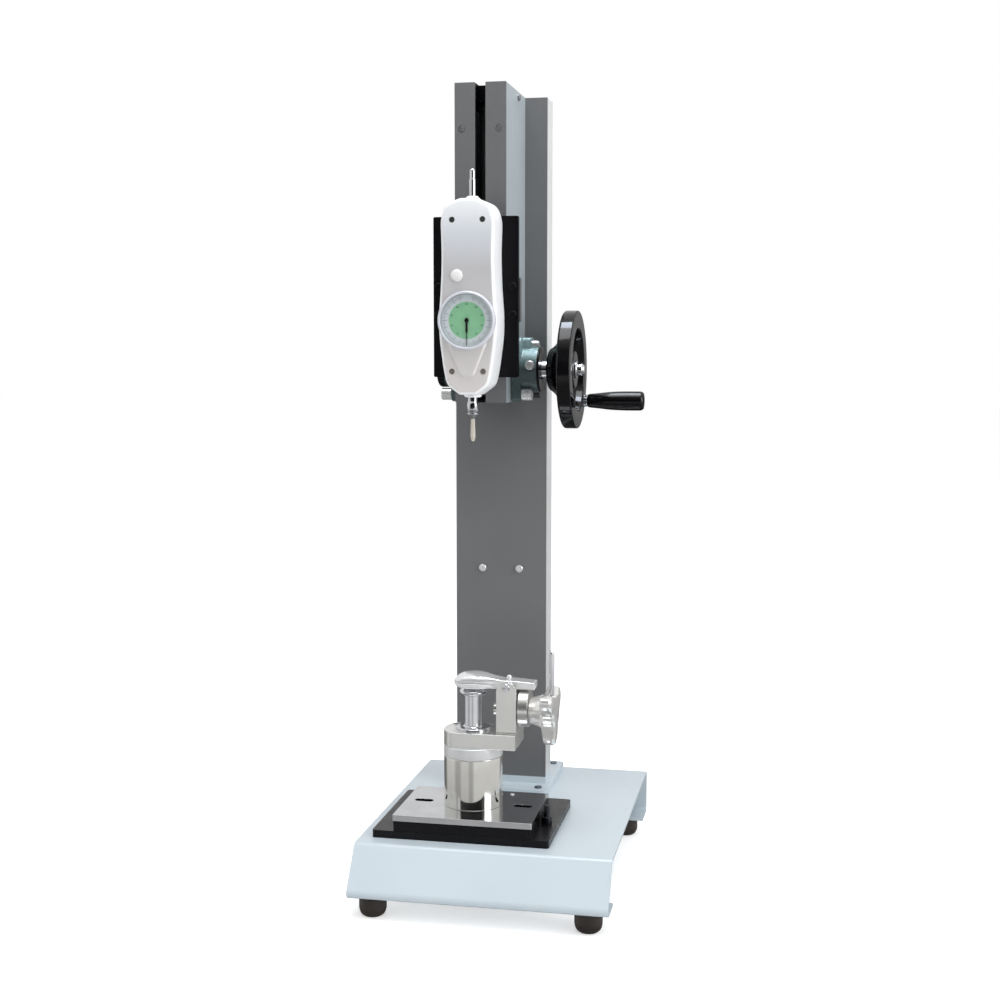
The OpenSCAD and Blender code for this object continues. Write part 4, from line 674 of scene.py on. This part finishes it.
wheelSpec = {
    "bore": 7.2, "boss": 11.0, "rim": 19.0, "hub": 21.0, "rimDepth": 14.6, "nutSeat": 3.0,
    # the domed back: radius past the hub, and height
    "dome": [(-3, 1.4), (0.9, 3.3), (1.9, 5.4), (5.1, 9.2), (8.9, 11.9)],
    "reach": [0, 0.5, 2.5, 1.6, 1.6, 2, 3, 1, 1, 1, 0.6, 0.6, 0.6, 0.8, 4, 4, 3, 1, 0.6, 0],
}


def handwheel(spec):
    # domed hub, conical web and a flat-faced rim, from the hub's back at zero to the rim's front
    low, high = span("handwheel")
    radius = (high[2] - low[2]) / 2
    depth = high[0] - low[0]
    back = depth - spec["rimDepth"]
    seat = depth - spec["nutSeat"]
    web, hub, bore = radius - spec["rim"], spec["hub"], spec["bore"]
    profile = [(bore, 0), (spec["boss"], 0)]
    profile += [(hub + out, up) for out, up in spec["dome"]]
    profile += [
        (web - 0.5, back), (radius - 1.5, back), (radius, back + 1.5), (radius, depth - 0.8),
        (radius - 0.8, depth), (web + 1, depth), (web, depth - 1), (web - 1.5, back + 4.5), (hub + 7, 17),
        (hub + 1, 17.5), (hub - 1, depth - 4), (hub - 2, seat), (bore, seat)]
    turnedPiece("handwheel", blackGloss, profile, spec["reach"], (1, 0, 0), 160, True)


handwheel(wheelSpec)

gripSpec = {
    "bore": 4.2, "collar": 6.5, "recess": 4.2,
    # shares of the length where the neck ends and where the thick part starts and ends
    "swell": (0.18, 0.42, 0.68), "reach": [0, 0.6, 1, 6, 10, 10, 2, 1.4, 0.3, 0.3, 0],
}


def crankGrip(spec):
    low, high = span("crank_grip")
    radius = (high[2] - low[2]) / 2
    length = high[0] - low[0]
    neck, thick, taper = [share * length for share in spec["swell"]]
    bore, collar, floor = spec["bore"], spec["collar"], length - spec["recess"]
    profile = [
        (bore, 0.2), (collar, 0), (7.4, 1.4), (8.3, neck), (radius - 0.5, thick), (radius, taper),
        (radius - 0.1, length - 2.5), (radius - 2.2, length), (collar, length), (collar, floor),
        (bore, floor)]
    turnedPiece("crank_grip", blackGloss, profile, spec["reach"], (1, 0, 0), 72, True)


crankGrip(gripSpec)

nutSpec = {
    "profile": [(4, 0), (9.5, 0), (9.5, 1.6), (6.8, 1.7), (6.6, 6.8), (4.5, 9.6), (0, 10.4), (0, 8.1),
                (4, 8)],
    "reach": 0.8, "axis": (1, 0, 0), "segments": 64, "closed": True,
}
turnedPiece("wheel_nut", brightChrome, **nutSpec)

# gearEnd is the X at which the seat of the bevel gear ends
shaftSpec = {"seat": 7.0, "gearEnd": -5.0, "thread": 4.0, "threadLength": 8.0}


def crossShaft(spec):
    low, high = span("wheel_shaft")
    length = high[0] - low[0]
    wide = (high[2] - low[2]) / 2
    hubBack = span("handwheel")[0][0] - low[0]
    gearEnd = spec["gearEnd"] - low[0]
    seat, thread, shoulder = spec["seat"], spec["thread"], length - spec["threadLength"]
    profile = [
        (0, 0), (seat, 0), (seat, gearEnd), (wide, gearEnd), (wide, hubBack), (seat, hubBack),
        (seat, shoulder), (thread, shoulder), (thread, length), (0, length)]
    turnedPiece("wheel_shaft", brightChrome, profile, 0.4, (1, 0, 0), 64)


crossShaft(shaftSpec)

capSpec = {
    "bore": 10.4, "thick": 2.0, "ringReach": [0, 0.1, 0.4, 0.4, 0.2],
    "plug": [(0, 0), (16.6, 0), (19, 2.2), (19, 8), (12, 8), (8, 8), (8, 4), (0, 4)],
    "plugReach": [0, 2, 2, 0.3, 0, 0, 0, 0],
}


def bossCaps(spec):
    # an open ring on the right boss and a closed plug on the left
    low, high = span("boss_caps")
    radius = (high[2] - low[2]) / 2
    middle = (low + high) / 2
    bore, thick = spec["bore"], spec["thick"]
    ring = [(bore, 0), (radius, 0), (radius, thick - 0.8), (radius - 0.8, thick), (bore, thick)]
    caps = [(ring, spec["ringReach"], span("gearbox_case")[1][0]), (spec["plug"], spec["plugReach"], low[0])]
    parts = [placed(turnedRing(profile, reach, 96), (x, middle[1], middle[2]), (1, 0, 0))
             for profile, reach, x in caps]
    make("boss_caps_turned", parts, blackEnamel, ["boss_caps"])


bossCaps(capSpec)

footSpec = {
    "radius": 14.0, "bolt": 3.4, "well": 8.0, "wellTop": 11.0, "reach": [0, 0.8, 1, 4, 3, 2, 0.4, 0.3, 0]}


def rubberFeet(spec):
    low, high = span("rubber_feet")
    height = high[2] - low[2]
    radius, bolt, well, top = spec["radius"], spec["bolt"], spec["well"], spec["wellTop"]
    profile = [
        (bolt, height), (radius - 1.4, height), (radius, height - 1.6), (radius, 7), (radius - 1.8, 2.2),
        (radius - 5, 0), (well, 0), (well, top), (bolt, top)]
    foot = turnedRing(profile, spec["reach"], 72)
    places = [(x, y, low[2]) for x in (low[0] + radius, high[0] - radius)
              for y in (low[1] + radius, high[1] - radius)]
    make("rubber_feet_moulded", [placed(foot, place) for place in places], footRubber, ["rubber_feet"])


rubberFeet(footSpec)

pedestalSpec = {"pin": 10.0, "edge": 0.5, "footEdge": 0.6, "reach": [0, 0.3, 0, 0.3, 0.5, 0.5, 0.5, 0]}


def pedestal(spec):
    # a pin through the fixture plate, the polished body and the satin ring on top
    low, high = span("pedestal")
    radius = (high[0] - low[0]) / 2
    under = span("fixture_plate")[1][2] - low[2]
    height = high[2] - low[2]
    pin, edge, footEdge = spec["pin"], spec["edge"], spec["footEdge"]
    body = [
        (0, 0), (pin, 0), (pin, under), (radius - 0.2, under), (radius, under + footEdge),
        (radius, height - edge), (radius - edge, height), (0, height)]
    turnedPiece("pedestal", pedestalChrome, body, spec["reach"], segments=192)
    ringLow, ringHigh = span("pedestal_ring")
    tall = ringHigh[2] - ringLow[2]
    ring = [(0, 0), (radius - edge, 0), (radius, edge), (radius, tall - footEdge), (radius - footEdge, tall),
            (0, tall)]
    turnedPiece("pedestal_ring", satinRing, ring, 0.5, segments=192)


pedestal(pedestalSpec)

stemSpec = {
    "profile": [(0, 0), (18, 0), (18, 1.7), (17.2, 2.6), (10.4, 2.7), (9.25, 3.6), (9.25, 36.2), (8.5, 37),
                (0, 37)],
    "reach": [0, 0.3, 0.6, 0.6, 1, 1, 0.5, 0.5, 0],
}
turnedPiece("anvil_stem", brightChrome, **stemSpec)

clampFootSpec = {"neck": 8.0, "profile": [(0, 0), (13.5, 0), (14.5, 1), (14.5, 3), (12.6, 4.6)]}
leverSpec = {"radius": 2.75, "tip": 1.6, "reach": [0, 0.2, 1.2, 1, 0]}


def footAndLever(foot, lever):
    low, high = span("clamp_foot")
    tall = high[2] - low[2]
    turnedPiece("clamp_foot", brightChrome, foot["profile"] + [(foot["neck"], tall), (0, tall)], 0.7)
    low, high = span("lever_rod")
    tall = high[2] - low[2]
    radius, tip = lever["radius"], lever["tip"]
    profile = [(0, 0), (radius, 0), (radius, tall - tip), (tip, tall), (0, tall)]
    turnedPiece("lever_rod", brightChrome, profile, lever["reach"], segments=40)


footAndLever(clampFootSpec, leverSpec)

armSpec = {
    # along the arm from the paddle's tip: half width, underside, top at the middle
    "wide": [(0, 3), (0.4, 7.5), (1.4, 11), (3.4, 14.2), (7, 16.2), (12, 16.5), (26, 16.5), (33, 14.6),
             (39, 11), (45, 9.5), (84.6, 9.5), (85.2, 9.0)],
    "under": [(0, 6.2), (0.5, 5.2), (3, 3.0), (7, 0.6), (12, 0), (84.8, 0), (85.2, 0.4)],
    "top": [(0, 6.8), (0.4, 8.4), (3, 11.6), (10, 14.6), (22, 15.6), (33, 14.2), (43, 10.4), (51, 9),
            (66, 9), (84.4, 7.7), (85.2, 7.2)],
    # half sections as shares of half width and of height: domed paddle over a groove, and square arm
    "paddle": [(0, 0), (0.5, 0), (0.93, 0), (1, 0.06), (1, 0.32), (0.9, 0.36), (0.9, 0.44), (1, 0.48),
               (0.985, 0.62), (0.9, 0.78), (0.72, 0.9), (0.45, 0.97), (0, 1)],
    "arm": [(0, 0), (0.5, 0), (0.9, 0), (1, 0.1), (1, 0.32), (1, 0.36), (1, 0.44), (1, 0.48), (1, 0.7),
            (1, 0.88), (0.9, 1), (0.45, 1), (0, 1)],
    # where the paddle turns into the arm; the ball's place along the arm, height and radius
    "blend": (32.0, 46.0), "ball": (57.2, 10.9, 2.7),
}


def rockerArm(spec):
    # sections carried along the arm; each blends from the paddle's form to the arm's
    low, high = span("rocker_arm")
    y = (low[1] + high[1]) / 2
    length = high[0] - low[0]
    tip = [0, 0.15, 0.35, 0.6, 1, 1.5, 2, 3, 4, 5.5, 7, 9]
    along = np.concatenate([tip, np.linspace(11, 84, 50), [84.6, 85.0, length]])

    def follow(points):
        curve = rounded(points, 3.0, 12)
        return np.interp(along, curve[:, 0], curve[:, 1])

    wide, under, top = follow(spec["wide"]), follow(spec["under"]), follow(spec["top"])
    share = np.clip((along - spec["blend"][0]) / (spec["blend"][1] - spec["blend"][0]), 0, 1)
    share = (share * share * (3 - 2 * share))[:, None, None]
    half = np.array(spec["paddle"]) * (1 - share) + np.array(spec["arm"]) * share
    other = half[:, -2:0:-1] * np.array([-1, 1])
    rings = []
    for k, section in enumerate(np.concatenate([half, other], axis=1)):
        outline = rounded(section * np.array([wide[k], top[k] - under[k]]), 2.0, 5, True)
        rings.append(np.stack([np.full(len(outline), along[k]), outline[:, 0], outline[:, 1] + under[k]], 1))
    points, faces = lofted(rings)
    place, height, radius = spec["ball"]
    turn = np.linspace(-np.pi / 2, np.pi / 2, 24)
    ball = turned(np.stack([radius * np.cos(turn), radius * np.sin(turn)], 1), 48)
    start = np.array([low[0], y, low[2]])
    make("rocker_arm_forged", [(points + start, faces), placed(ball, start + np.array([place, 0, height]))],
         armChrome, ["rocker_arm"], edge=50)


rockerArm(armSpec)


knobSpec = {
    "lobesFrom": 13.0, "axisUp": 36.0, "disc": 16.6, "lobe": 19.0, "sharpness": 2.6, "waist": 17.0,
    # the plain boss: distance along and radius
    "boss": [(0.0, 12.0), (0.0, 12.6), (3.0, 14.2), (12.0, 17.0)],
    # the lobes: distance after their start or before the end, and how far they stand out as a share
    "rise": [(0, 0.55), (1.4, 0.9), (3.4, 1.0)], "fall": [(3.6, 1.0), (1.2, 0.9), (0.2, 0.66), (0, 0.3)],
}


def lobedKnob(spec):
    # radius in each direction is a smooth blend of the disc and three round lobes
    low, high = span("lobed_knob")
    centre = np.array([low[0], (low[1] + high[1]) / 2, low[2] + spec["axisUp"]])
    start, end = spec["lobesFrom"], high[0] - low[0]
    angle = np.linspace(0, 2 * np.pi, 192, endpoint=False)
    full = spec["disc"] + spec["lobe"] * (0.5 + 0.5 * np.cos(3 * angle)) ** spec["sharpness"]
    disc = np.minimum(full, spec["waist"]) * 0.9
    lobed = [(start + along, share) for along, share in spec["rise"]]
    lobed += [(end - along, share) for along, share in spec["fall"]]
    sections = [(along, np.full_like(angle, radius)) for along, radius in spec["boss"]]
    sections += [(along, disc * (1 - share) + full * share) for along, share in lobed]
    sections.append((end, np.full_like(angle, 0.01)))
    points, faces = lofted([
        np.stack([reach * np.cos(angle), reach * np.sin(angle), np.full_like(angle, along)], 1)
        for along, reach in sections])
    # local X points straight down, local Z along the shaft
    turn = np.array([[0, 0, 1], [0, -1, 0], [-1, 0, 0]], float)
    make("lobed_knob_moulded", [(points @ turn.T + centre, faces)], knobChrome, ["lobed_knob"])


lobedKnob(knobSpec)
print("turned pieces made")


# Gauge
gaugeSpec = {
    # half outline: half width, height above the dial's centre, reach of the rounding
    "half": [
        (9.1, -74.9, 1.5), (14.6, -70.9, 3), (20.9, -66.2, 3), (23.5, -60.4, 4), (26, -48, 6), (29.5, -22, 8),
        (30.4, -8, 6), (30.4, 6, 9), (28.4, 32, 14), (27.3, 62, 16), (28.4, 100, 6), (25.4, 110.9, 6),
        (20.4, 116.9, 6), (8, 121.9, 3)],
    "neck": [(5.6, 0), (8.6, 0), (7.4, 1.3), (6.0, 2.3), (5.5, 3.4), (3.4, 3.4), (3.4, 2.8), (5.5, 2.8)],
    "throat": [(6.0, 0), (6.0, -3.0), (7.6, -3.0), (8.6, -2.2), (9.2, 0)],
    "neckUp": 121.6, "throatUp": -74.6,
    "frontRound": 4.6, "backRound": 2.2, "wall": 2.4, "draft": 0.5, "panelOut": 2.0,
    "panel": [(21.4, -20), (7, -55.9), (-7, -55.9), (-21.4, -20)],
    # the panel's edge: distance inwards, and distance from the case's front
    "panelEdge": [(0.0, 0.6), (0.0, -0.1), (1.5, -1.7), (2.1, -1.95), (2.8, -2.0)],
    # hollows cut into the front: across, up, radius and depth; screw wells, the dial's spigot, the button
    "hollows": [(-15.6, 99.9, 3.0, 2.6), (15.6, 99.9, 3.0, 2.6), (-16, -51, 3.0, 2.6), (16, -51, 3.0, 2.6),
                (0, 0, 22.1, 8), (-10.8, 44.7, 6.48, 8)],
}


def gaugeOutline(spec, steps=10):
    right = np.array([(w, h) for w, h, _ in spec["half"]])
    reach = np.array([r for _, _, r in spec["half"]])
    left = right[::-1] * np.array([-1, 1])
    return rounded(np.vstack([right, left]), np.concatenate([reach, reach[::-1]]), steps, True)


def disc(radius, start, end):
    return turned([(0, start), (radius, start), (radius, end), (0, end)], 64)


def sheetAt(outline, y, centre):
    # an outline of (across, up) stood upright at depth y
    return np.stack([outline[:, 0] + centre[0], np.full(len(outline), y), outline[:, 1] + centre[2]], 1)


def hollow(outer, inner):
    # an outer and an inner skin joined by a rim
    rim = lofted([inner[-1], outer[0]], False, False)
    return [lofted(outer, False, True), lofted(inner, True, False), rim]


def gaugeShells(spec):
    frontLow, frontHigh = span("gauge_front_shell")
    back = span("gauge_back_shell")[1][1]
    dialLow, dialHigh = span("bezel_ring")
    centre = (dialLow + dialHigh) / 2
    front = frontLow[1] + spec["panelOut"]
    parting = frontHigh[1]
    outline = gaugeOutline(spec)
    turn = np.linspace(0, np.pi / 2, 9)
    r = spec["frontRound"]
    outer = [sheetAt(outline, parting, centre), sheetAt(inward(outline, spec["draft"]), front + r, centre)]
    for t in turn[1:]:
        corner = inward(outline, spec["draft"] + r * 0.8 * (1 - np.cos(t)))
        outer.append(sheetAt(corner, front + r * (1 - np.sin(t)), centre))
    outer.append(sheetAt(inward(outline, spec["draft"] + r * 0.8 + 0.4), front, centre))
    wall = spec["wall"]
    innerSteps = [(wall + 1.6, front + wall), (wall + 0.6, front + wall + 2), (wall, parting)]
    inner = [sheetAt(inward(outline, d), y, centre) for d, y in innerSteps]
    piece = make("gauge_front_moulded", hollow(outer, inner), whiteShellPaintedLight, ["gauge_front_shell"], edge=40)
    carve(piece, [placed(disc(radius, -3, deep), (centre[0] + x, front, centre[2] + z), (0, 1, 0))
                  for x, z, radius, deep in spec["hollows"]], 40)
    # raised panel below the dial
    panel = rounded(spec["panel"][::-1], 3.5, 8, True)
    if np.cross(panel[1] - panel[0], panel[2] - panel[1]) < 0:
        panel = panel[::-1]
    sheets = [sheetAt(inward(panel, d), front + y, centre) for d, y in spec["panelEdge"]]
    make("gauge_front_panel", [lofted(sheets)], panelShellPaintedLight, body="carrier", edge=40)
    # rear shell
    b = spec["backRound"]
    outer = [sheetAt(outline, parting + 0.05, centre), sheetAt(outline, back - b, centre)]
    outer += [sheetAt(inward(outline, b * (1 - np.cos(t))), back - b * (1 - np.sin(t)), centre)
              for t in turn[1:]]
    inner = [sheetAt(inward(outline, wall), y, centre) for y in (back - wall, parting + 0.05)]
    make("gauge_back_moulded", hollow(outer, inner), whiteShellPaintedLight, ["gauge_back_shell"], edge=40)
    # moulded necks round the shaft, above and below
    shaftLow, shaftHigh = span("gauge_shaft")
    x, y = (shaftLow[:2] + shaftHigh[:2]) / 2
    necks = [placed(turnedRing(spec["neck"], 0.8, 72), (x, y, centre[2] + spec["neckUp"])),
             placed(turnedRing(spec["throat"], 0.6, 72), (x, y, centre[2] + spec["throatUp"]))]
    make("gauge_necks_moulded", necks, whiteShellPaintedLight, body="carrier", edge=40)
    return centre


gaugeCentre = gaugeShells(gaugeSpec)


dialSpec = {
    "green": 18.6, "circle": 26.2, "divisions": 100, "gap": 8, "fine": (22.2, 25.2), "coarse": (20.6, 25.2),
    "numbers": [0, 10, 20, 30, 40, 50], "numberSize": 2.6, "numberR": 16.2,
    # the face: bore, thickness, and the spigot's radii and depth; the window's thickness
    "bore": 1.6, "thick": 1.4, "spigot": (20.0, 21.9), "spigotDepth": 5.0, "pane": 1.5,
    "bezelReach": [0.3, 0.5, 1, 1.2, 0.3, 0.1, 0.05, 0.1],
}


def dial(spec, centre):
    low, high = span("bezel_ring")
    radius = (high[0] - low[0]) / 2
    depth = high[1] - low[1]
    faceLow, faceHigh = span("dial_face")
    faceR = (faceHigh[0] - faceLow[0]) / 2
    bezel = turnedRing([
        (faceR - 0.3, 0.6), (faceR + 0.5, 0), (radius - 1.4, 0), (radius, 1.6), (radius, depth),
        (faceR, depth), (faceR, 0.95), (faceR - 0.3, 0.95)], spec["bezelReach"], 144)
    bore, thick, deep = spec["bore"], spec["thick"], spec["spigotDepth"]
    inside, outside = spec["spigot"]
    face = [(bore, 0), (faceR - 0.1, 0), (faceR - 0.1, thick), (outside, thick), (outside, deep),
            (inside, deep), (inside, thick), (bore, thick)]
    pane = rounded([(0, 0), (faceR, 0), (faceR, spec["pane"]), (0, spec["pane"])], 0.2)

    def facingFront(part, y):
        return [placed(part, (centre[0], y, centre[2]), (0, 1, 0))]

    make("bezel_turned", facingFront(bezel, low[1]), bezelPlastic, ["bezel_ring"])
    make("dial_face_printed", facingFront(turned(face, 144, True), faceLow[1]),
         dialPrint("dial print", spec, centre), ["dial_face"])
    paneFront = span("dial_glass")[0][1]
    glass = make("dial_window", facingFront(turned(pane), paneFront), clearWindow, ["dial_glass"])
    glass.visible_shadow = False
    return faceLow[1]


faceFront = dial(dialSpec, gaugeCentre)


def numbers(spec, centre, y):
    # plain figures round the dial, zero straight down and the same both ways
    last = len(spec["numbers"]) - 1
    for side, word in ((-1, "left"), (1, "right")):
        for k, value in enumerate(spec["numbers"]):
            if side < 0 and k in (0, last):
                continue
            angle = math.radians(side * k * 180 / last)
            text = bpy.data.curves.new("figure", "FONT")
            text.body = str(value)
            text.size = spec["numberSize"] * mm
            text.extrude = 0.03 * mm
            text.align_x = "CENTER"
            text.align_y = "CENTER"
            holder = added("figure", text)
            mesh = meshOf(holder)
            bpy.data.objects.remove(holder)
            across, up = spec["numberR"] * math.sin(angle), -spec["numberR"] * math.cos(angle)
            at = Vector((centre[0] + across, y - 0.02, centre[2] + up))
            mesh.transform(Matrix.Translation(at * mm) @ Matrix.Rotation(math.radians(90), 4, "X"))
            stand(mesh, f"dial_figure_{word}_{value}", inkBlack, "dial", [], 30)


numbers(dialSpec, gaugeCentre, faceFront)

buttonSpec = {
    "profile": [(0, 0), (3.6, 0.35), (5.7, 1.3), (6.4, 3), (6.4, 5.8), (8.1, 5.8), (8.1, 7.5), (0, 7.5)],
    "reach": [0, 2, 1.5, 1, 0.1, 0.1, 0.2, 0], "axis": (0, 1, 0), "segments": 72,
}
turnedPiece("peak_button", whiteButton, **buttonSpec)


barrelSpec = {
    # the barrel nose below the case, then the thin shaft with its collar and its upper end
    "nose": [(0, 0), (4.6, 0), (5.2, 0.8), (5.8, 3.4), (5.85, 6.4), (5.7, 9.6), (5.1, 11.4), (5.0, 12.2),
             (5.0, 36.3), (3.25, 36.3)],
    "shaft": 3.25, "collar": 5.8, "collarTall": 5.0, "upper": 2.75,
    "reach": [0, 0.3, 0.6, 1.2, 1.2, 1.2, 0.6, 0.4, 0.2, 0, 0, 0.2, 0.2, 0, 0.1, 0.1, 0.8, 0.6, 0],
}
couplingSpec = {
    "profile": [(0, 0), (2.7, 0), (3.2, 0.8), (5.7, 4.6), (5.8, 6.4), (0, 6.4)],
    "reach": [0, 0.3, 0.6, 0.6, 0.2, 0], "segments": 64,
}


def measuringShaft(spec):
    low, high = span("gauge_shaft")
    length = high[2] - low[2]
    top = span("upper_spring")[0][2] - low[2]
    shaft, collar, upper = spec["shaft"], spec["collar"], spec["upper"]
    under = top - spec["collarTall"]
    profile = spec["nose"] + [
        (shaft, under), (collar, under), (collar, top), (shaft, top), (shaft, length - 10.4),
        (upper, length - 10.2), (upper, length - 1.4), (1.8, length), (0, length)]
    turnedPiece("gauge_shaft", brightChrome, profile, spec["reach"], segments=64)


measuringShaft(barrelSpec)
turnedPiece("hook_coupling", brightChrome, **couplingSpec)

hookSpec = {"radius": 2.4, "bend": 3.0, "turn": 11.5}


def testHook(spec):
    # a thin rod that bends round in a half circle towards the back
    low, high = span("test_hook")
    radius, bend = spec["radius"], spec["bend"]
    shaftLow, shaftHigh = span("gauge_shaft")
    x, y = (shaftLow[:2] + shaftHigh[:2]) / 2
    bottom = low[2] + radius + bend
    straight = np.linspace(high[2], bottom, 12)
    around = np.linspace(0, np.pi, 24)[1:]
    path = [(0, 0, z) for z in straight]
    path += [(0, bend - bend * np.cos(a), bottom - bend * np.sin(a)) for a in around]
    path += [(0, 2 * bend, bottom + rise) for rise in (1.2, 2.3, 2.5)]
    # the rod swells where it starts to bend and is drawn thinner round the bend
    thick = radius * np.concatenate([
        np.linspace(0.74, 1.1, 12), 1.1 - 0.25 * np.sin(around), [0.8, 0.72, 0.6]])
    points, faces = swept(path, thick, 28)
    turn = math.radians(spec["turn"])
    across, deep = points[:, 0].copy(), points[:, 1].copy()
    points[:, 0] = x + across * math.cos(turn) - deep * math.sin(turn)
    points[:, 1] = y + across * math.sin(turn) + deep * math.cos(turn)
    make("test_hook_bent", [(points, faces)], hookWhite, ["test_hook"])


testHook(hookSpec)
print("gauge made")


# Floor, light and camera
def flatSheet(name, corners):
    mesh = bpy.data.meshes.new(name)
    mesh.from_pydata(corners, [], [(0, 1, 2, 3)])
    return added(name, mesh)


def studio(spec):
    size = spec["size"]
    floor = flatSheet("floor", [(-size, -size, 0), (size, -size, 0), (size, size, 0), (-size, size, 0)])
    floor.visible_glossy = False
    f = Finish("floor")
    path = f.node("ShaderNodeLightPath", {}, {}, "Is Camera Ray")
    f.set(Base_Color=(0.86, 0.86, 0.86, 1), Roughness=0.9, Specular_IOR_Level=0.1,
          Emission_Color=(1, 1, 1, 1), Emission_Strength=path * spec["floor"])
    floor.data.materials.append(f.material)
    world = bpy.data.worlds.new("studio")
    bpy.context.scene.world = world
    f = Finish("studio", world)
    x, y, z = f.apart()
    # angle round the upright axis: zero towards the camera, positive on its right
    bearing = f.maths("ARCTAN2", x, -1.0 * y) - 0.2
    apart = abs(bearing)

    def near(centre, width):
        # one at a bearing, falling to nothing at a width from it
        return f.ramp(abs(bearing - centre), 1.0, 0.0, 0.45 * width, width)

    # bench, seen below the horizon: paler on the right, dark towards the back and far below
    bench = f.ramp(bearing, spec["left"], spec["right"], -0.05, 0.12)
    for centre, width, depth in spec["shades"]:
        bench = bench * (1.0 - depth * near(centre, width))
    bench = bench * (1.0 - 0.72 * f.ramp(apart, 0.0, 1.0, 2.1, 2.35)) * f.ramp(z, 0.3, 1.0, -0.45, -0.2)
    # room, seen above it: dark towards the camera up to a steep height, pale elsewhere
    front = f.ramp(apart, 1.0, 0.0, 0.9, 1.3) * f.ramp(z, 1.0, 0.0, 0.62, 0.85)
    behind = f.ramp(abs(bearing - 2.62), 1.0, 0.0, 0.4, 0.52) * f.ramp(z, 1.0, 0.0, 0.35, 0.55)
    dark = f.maths("MAXIMUM", front, 0.7 * behind)
    room = spec["glossy"] - (spec["glossy"] - spec["dark"]) * dark
    below = f.ramp(z, 1.0, 0.0, -0.06, -0.02)
    eye = f.node("ShaderNodeLightPath", {}, {}, "Is Camera Ray")
    glossy = Wire(f, eye.socket.node.outputs["Is Glossy Ray"])
    seen = below * bench + (1.0 - below) * room
    other = glossy * seen + (1.0 - glossy) * spec["diffuse"]
    f.set(Color=(1, 1, 1, 1), Strength=eye + (1.0 - eye) * other)


def darkCard(spec):
    # a black card in front, which only polished surfaces above the clamp mirror
    (x0, x1), y, (z0, z1) = spec["cardX"], spec["cardY"], spec["cardZ"]
    card = flatSheet("card", [(x0, y, z0), (x1, y, z0), (x1, y, z1), (x0, y, z1)])
    f = Finish("card")
    f.set(Base_Color=(0.01, 0.01, 0.01, 1), Roughness=1.0, Specular_IOR_Level=0.0)
    card.data.materials.append(f.material)
    card.visible_camera = False
    card.visible_diffuse = False
    card.visible_transmission = False
    card.visible_shadow = False


def lamp(name, at, towards, width, height, watts, colour=(1, 1, 1), lights=True):
    light = bpy.data.lights.new(name, "AREA")
    light.shape = "RECTANGLE"
    light.size = width
    light.size_y = height
    light.energy = watts
    light.color = colour
    holder = added(name, light)
    holder.location = at
    holder.visible_diffuse = lights
    aim = Vector(towards) - Vector(at)
    holder.rotation_euler = aim.to_track_quat("-Z", "Y").to_euler()


cameraSpec = {
    "focal": 1505.65, "picture": 1000,
    "at": (307.59, -1572.39, 571.03), "towards": (-0.19909, 0.97478, -0.10082)}


def camera(spec):
    data = bpy.data.cameras.new("camera")
    data.sensor_width = 36.0
    data.lens = spec["focal"] / spec["picture"] * data.sensor_width
    data.clip_end = 60.0
    holder = added("camera", data)
    holder.location = Vector(spec["at"]) * mm
    holder.rotation_euler = Vector(spec["towards"]).to_track_quat("-Z", "Y").to_euler()
    bpy.context.scene.camera = holder


studioSpec = {
    "size": 14.0, "floor": 0.5, "diffuse": 0.57, "glossy": 0.85, "dark": 0.1, "left": 0.74, "right": 0.9,
    # darker strips of the bench: bearing, width and share taken away
    "shades": [(-1.1, 0.32, 0.34), (-0.16, 0.2, 0.28)],
    "cardX": (-0.9, 1.0), "cardY": -1.1, "cardZ": (0.33, 0.85)}
studio(studioSpec)
darkCard(studioSpec)
lamp("overhead", (0.1, -0.4, 2.4), (0, 0, 0.3), 1.5, 0.9, 23.0, (0.97, 0.985, 1.0))
lamp("right", (2.3, -0.9, 1.35), (0, 0, 0.6), 1.2, 1.8, 29.0)
lamp("left front", (-1.6, -2.2, 1.5), (0, 0, 0.4), 1.4, 1.4, 4.8, (1.0, 0.985, 0.97))
lamp("glint", (0.1, 0.2, 2.3), (0.1, -0.1, 0.5), 0.9, 0.5, 24.0, (0.80, 0.88, 1.0), lights=False)
camera(cameraSpec)
bpy.context.scene.view_settings.view_transform = "Standard"
print("studio made")
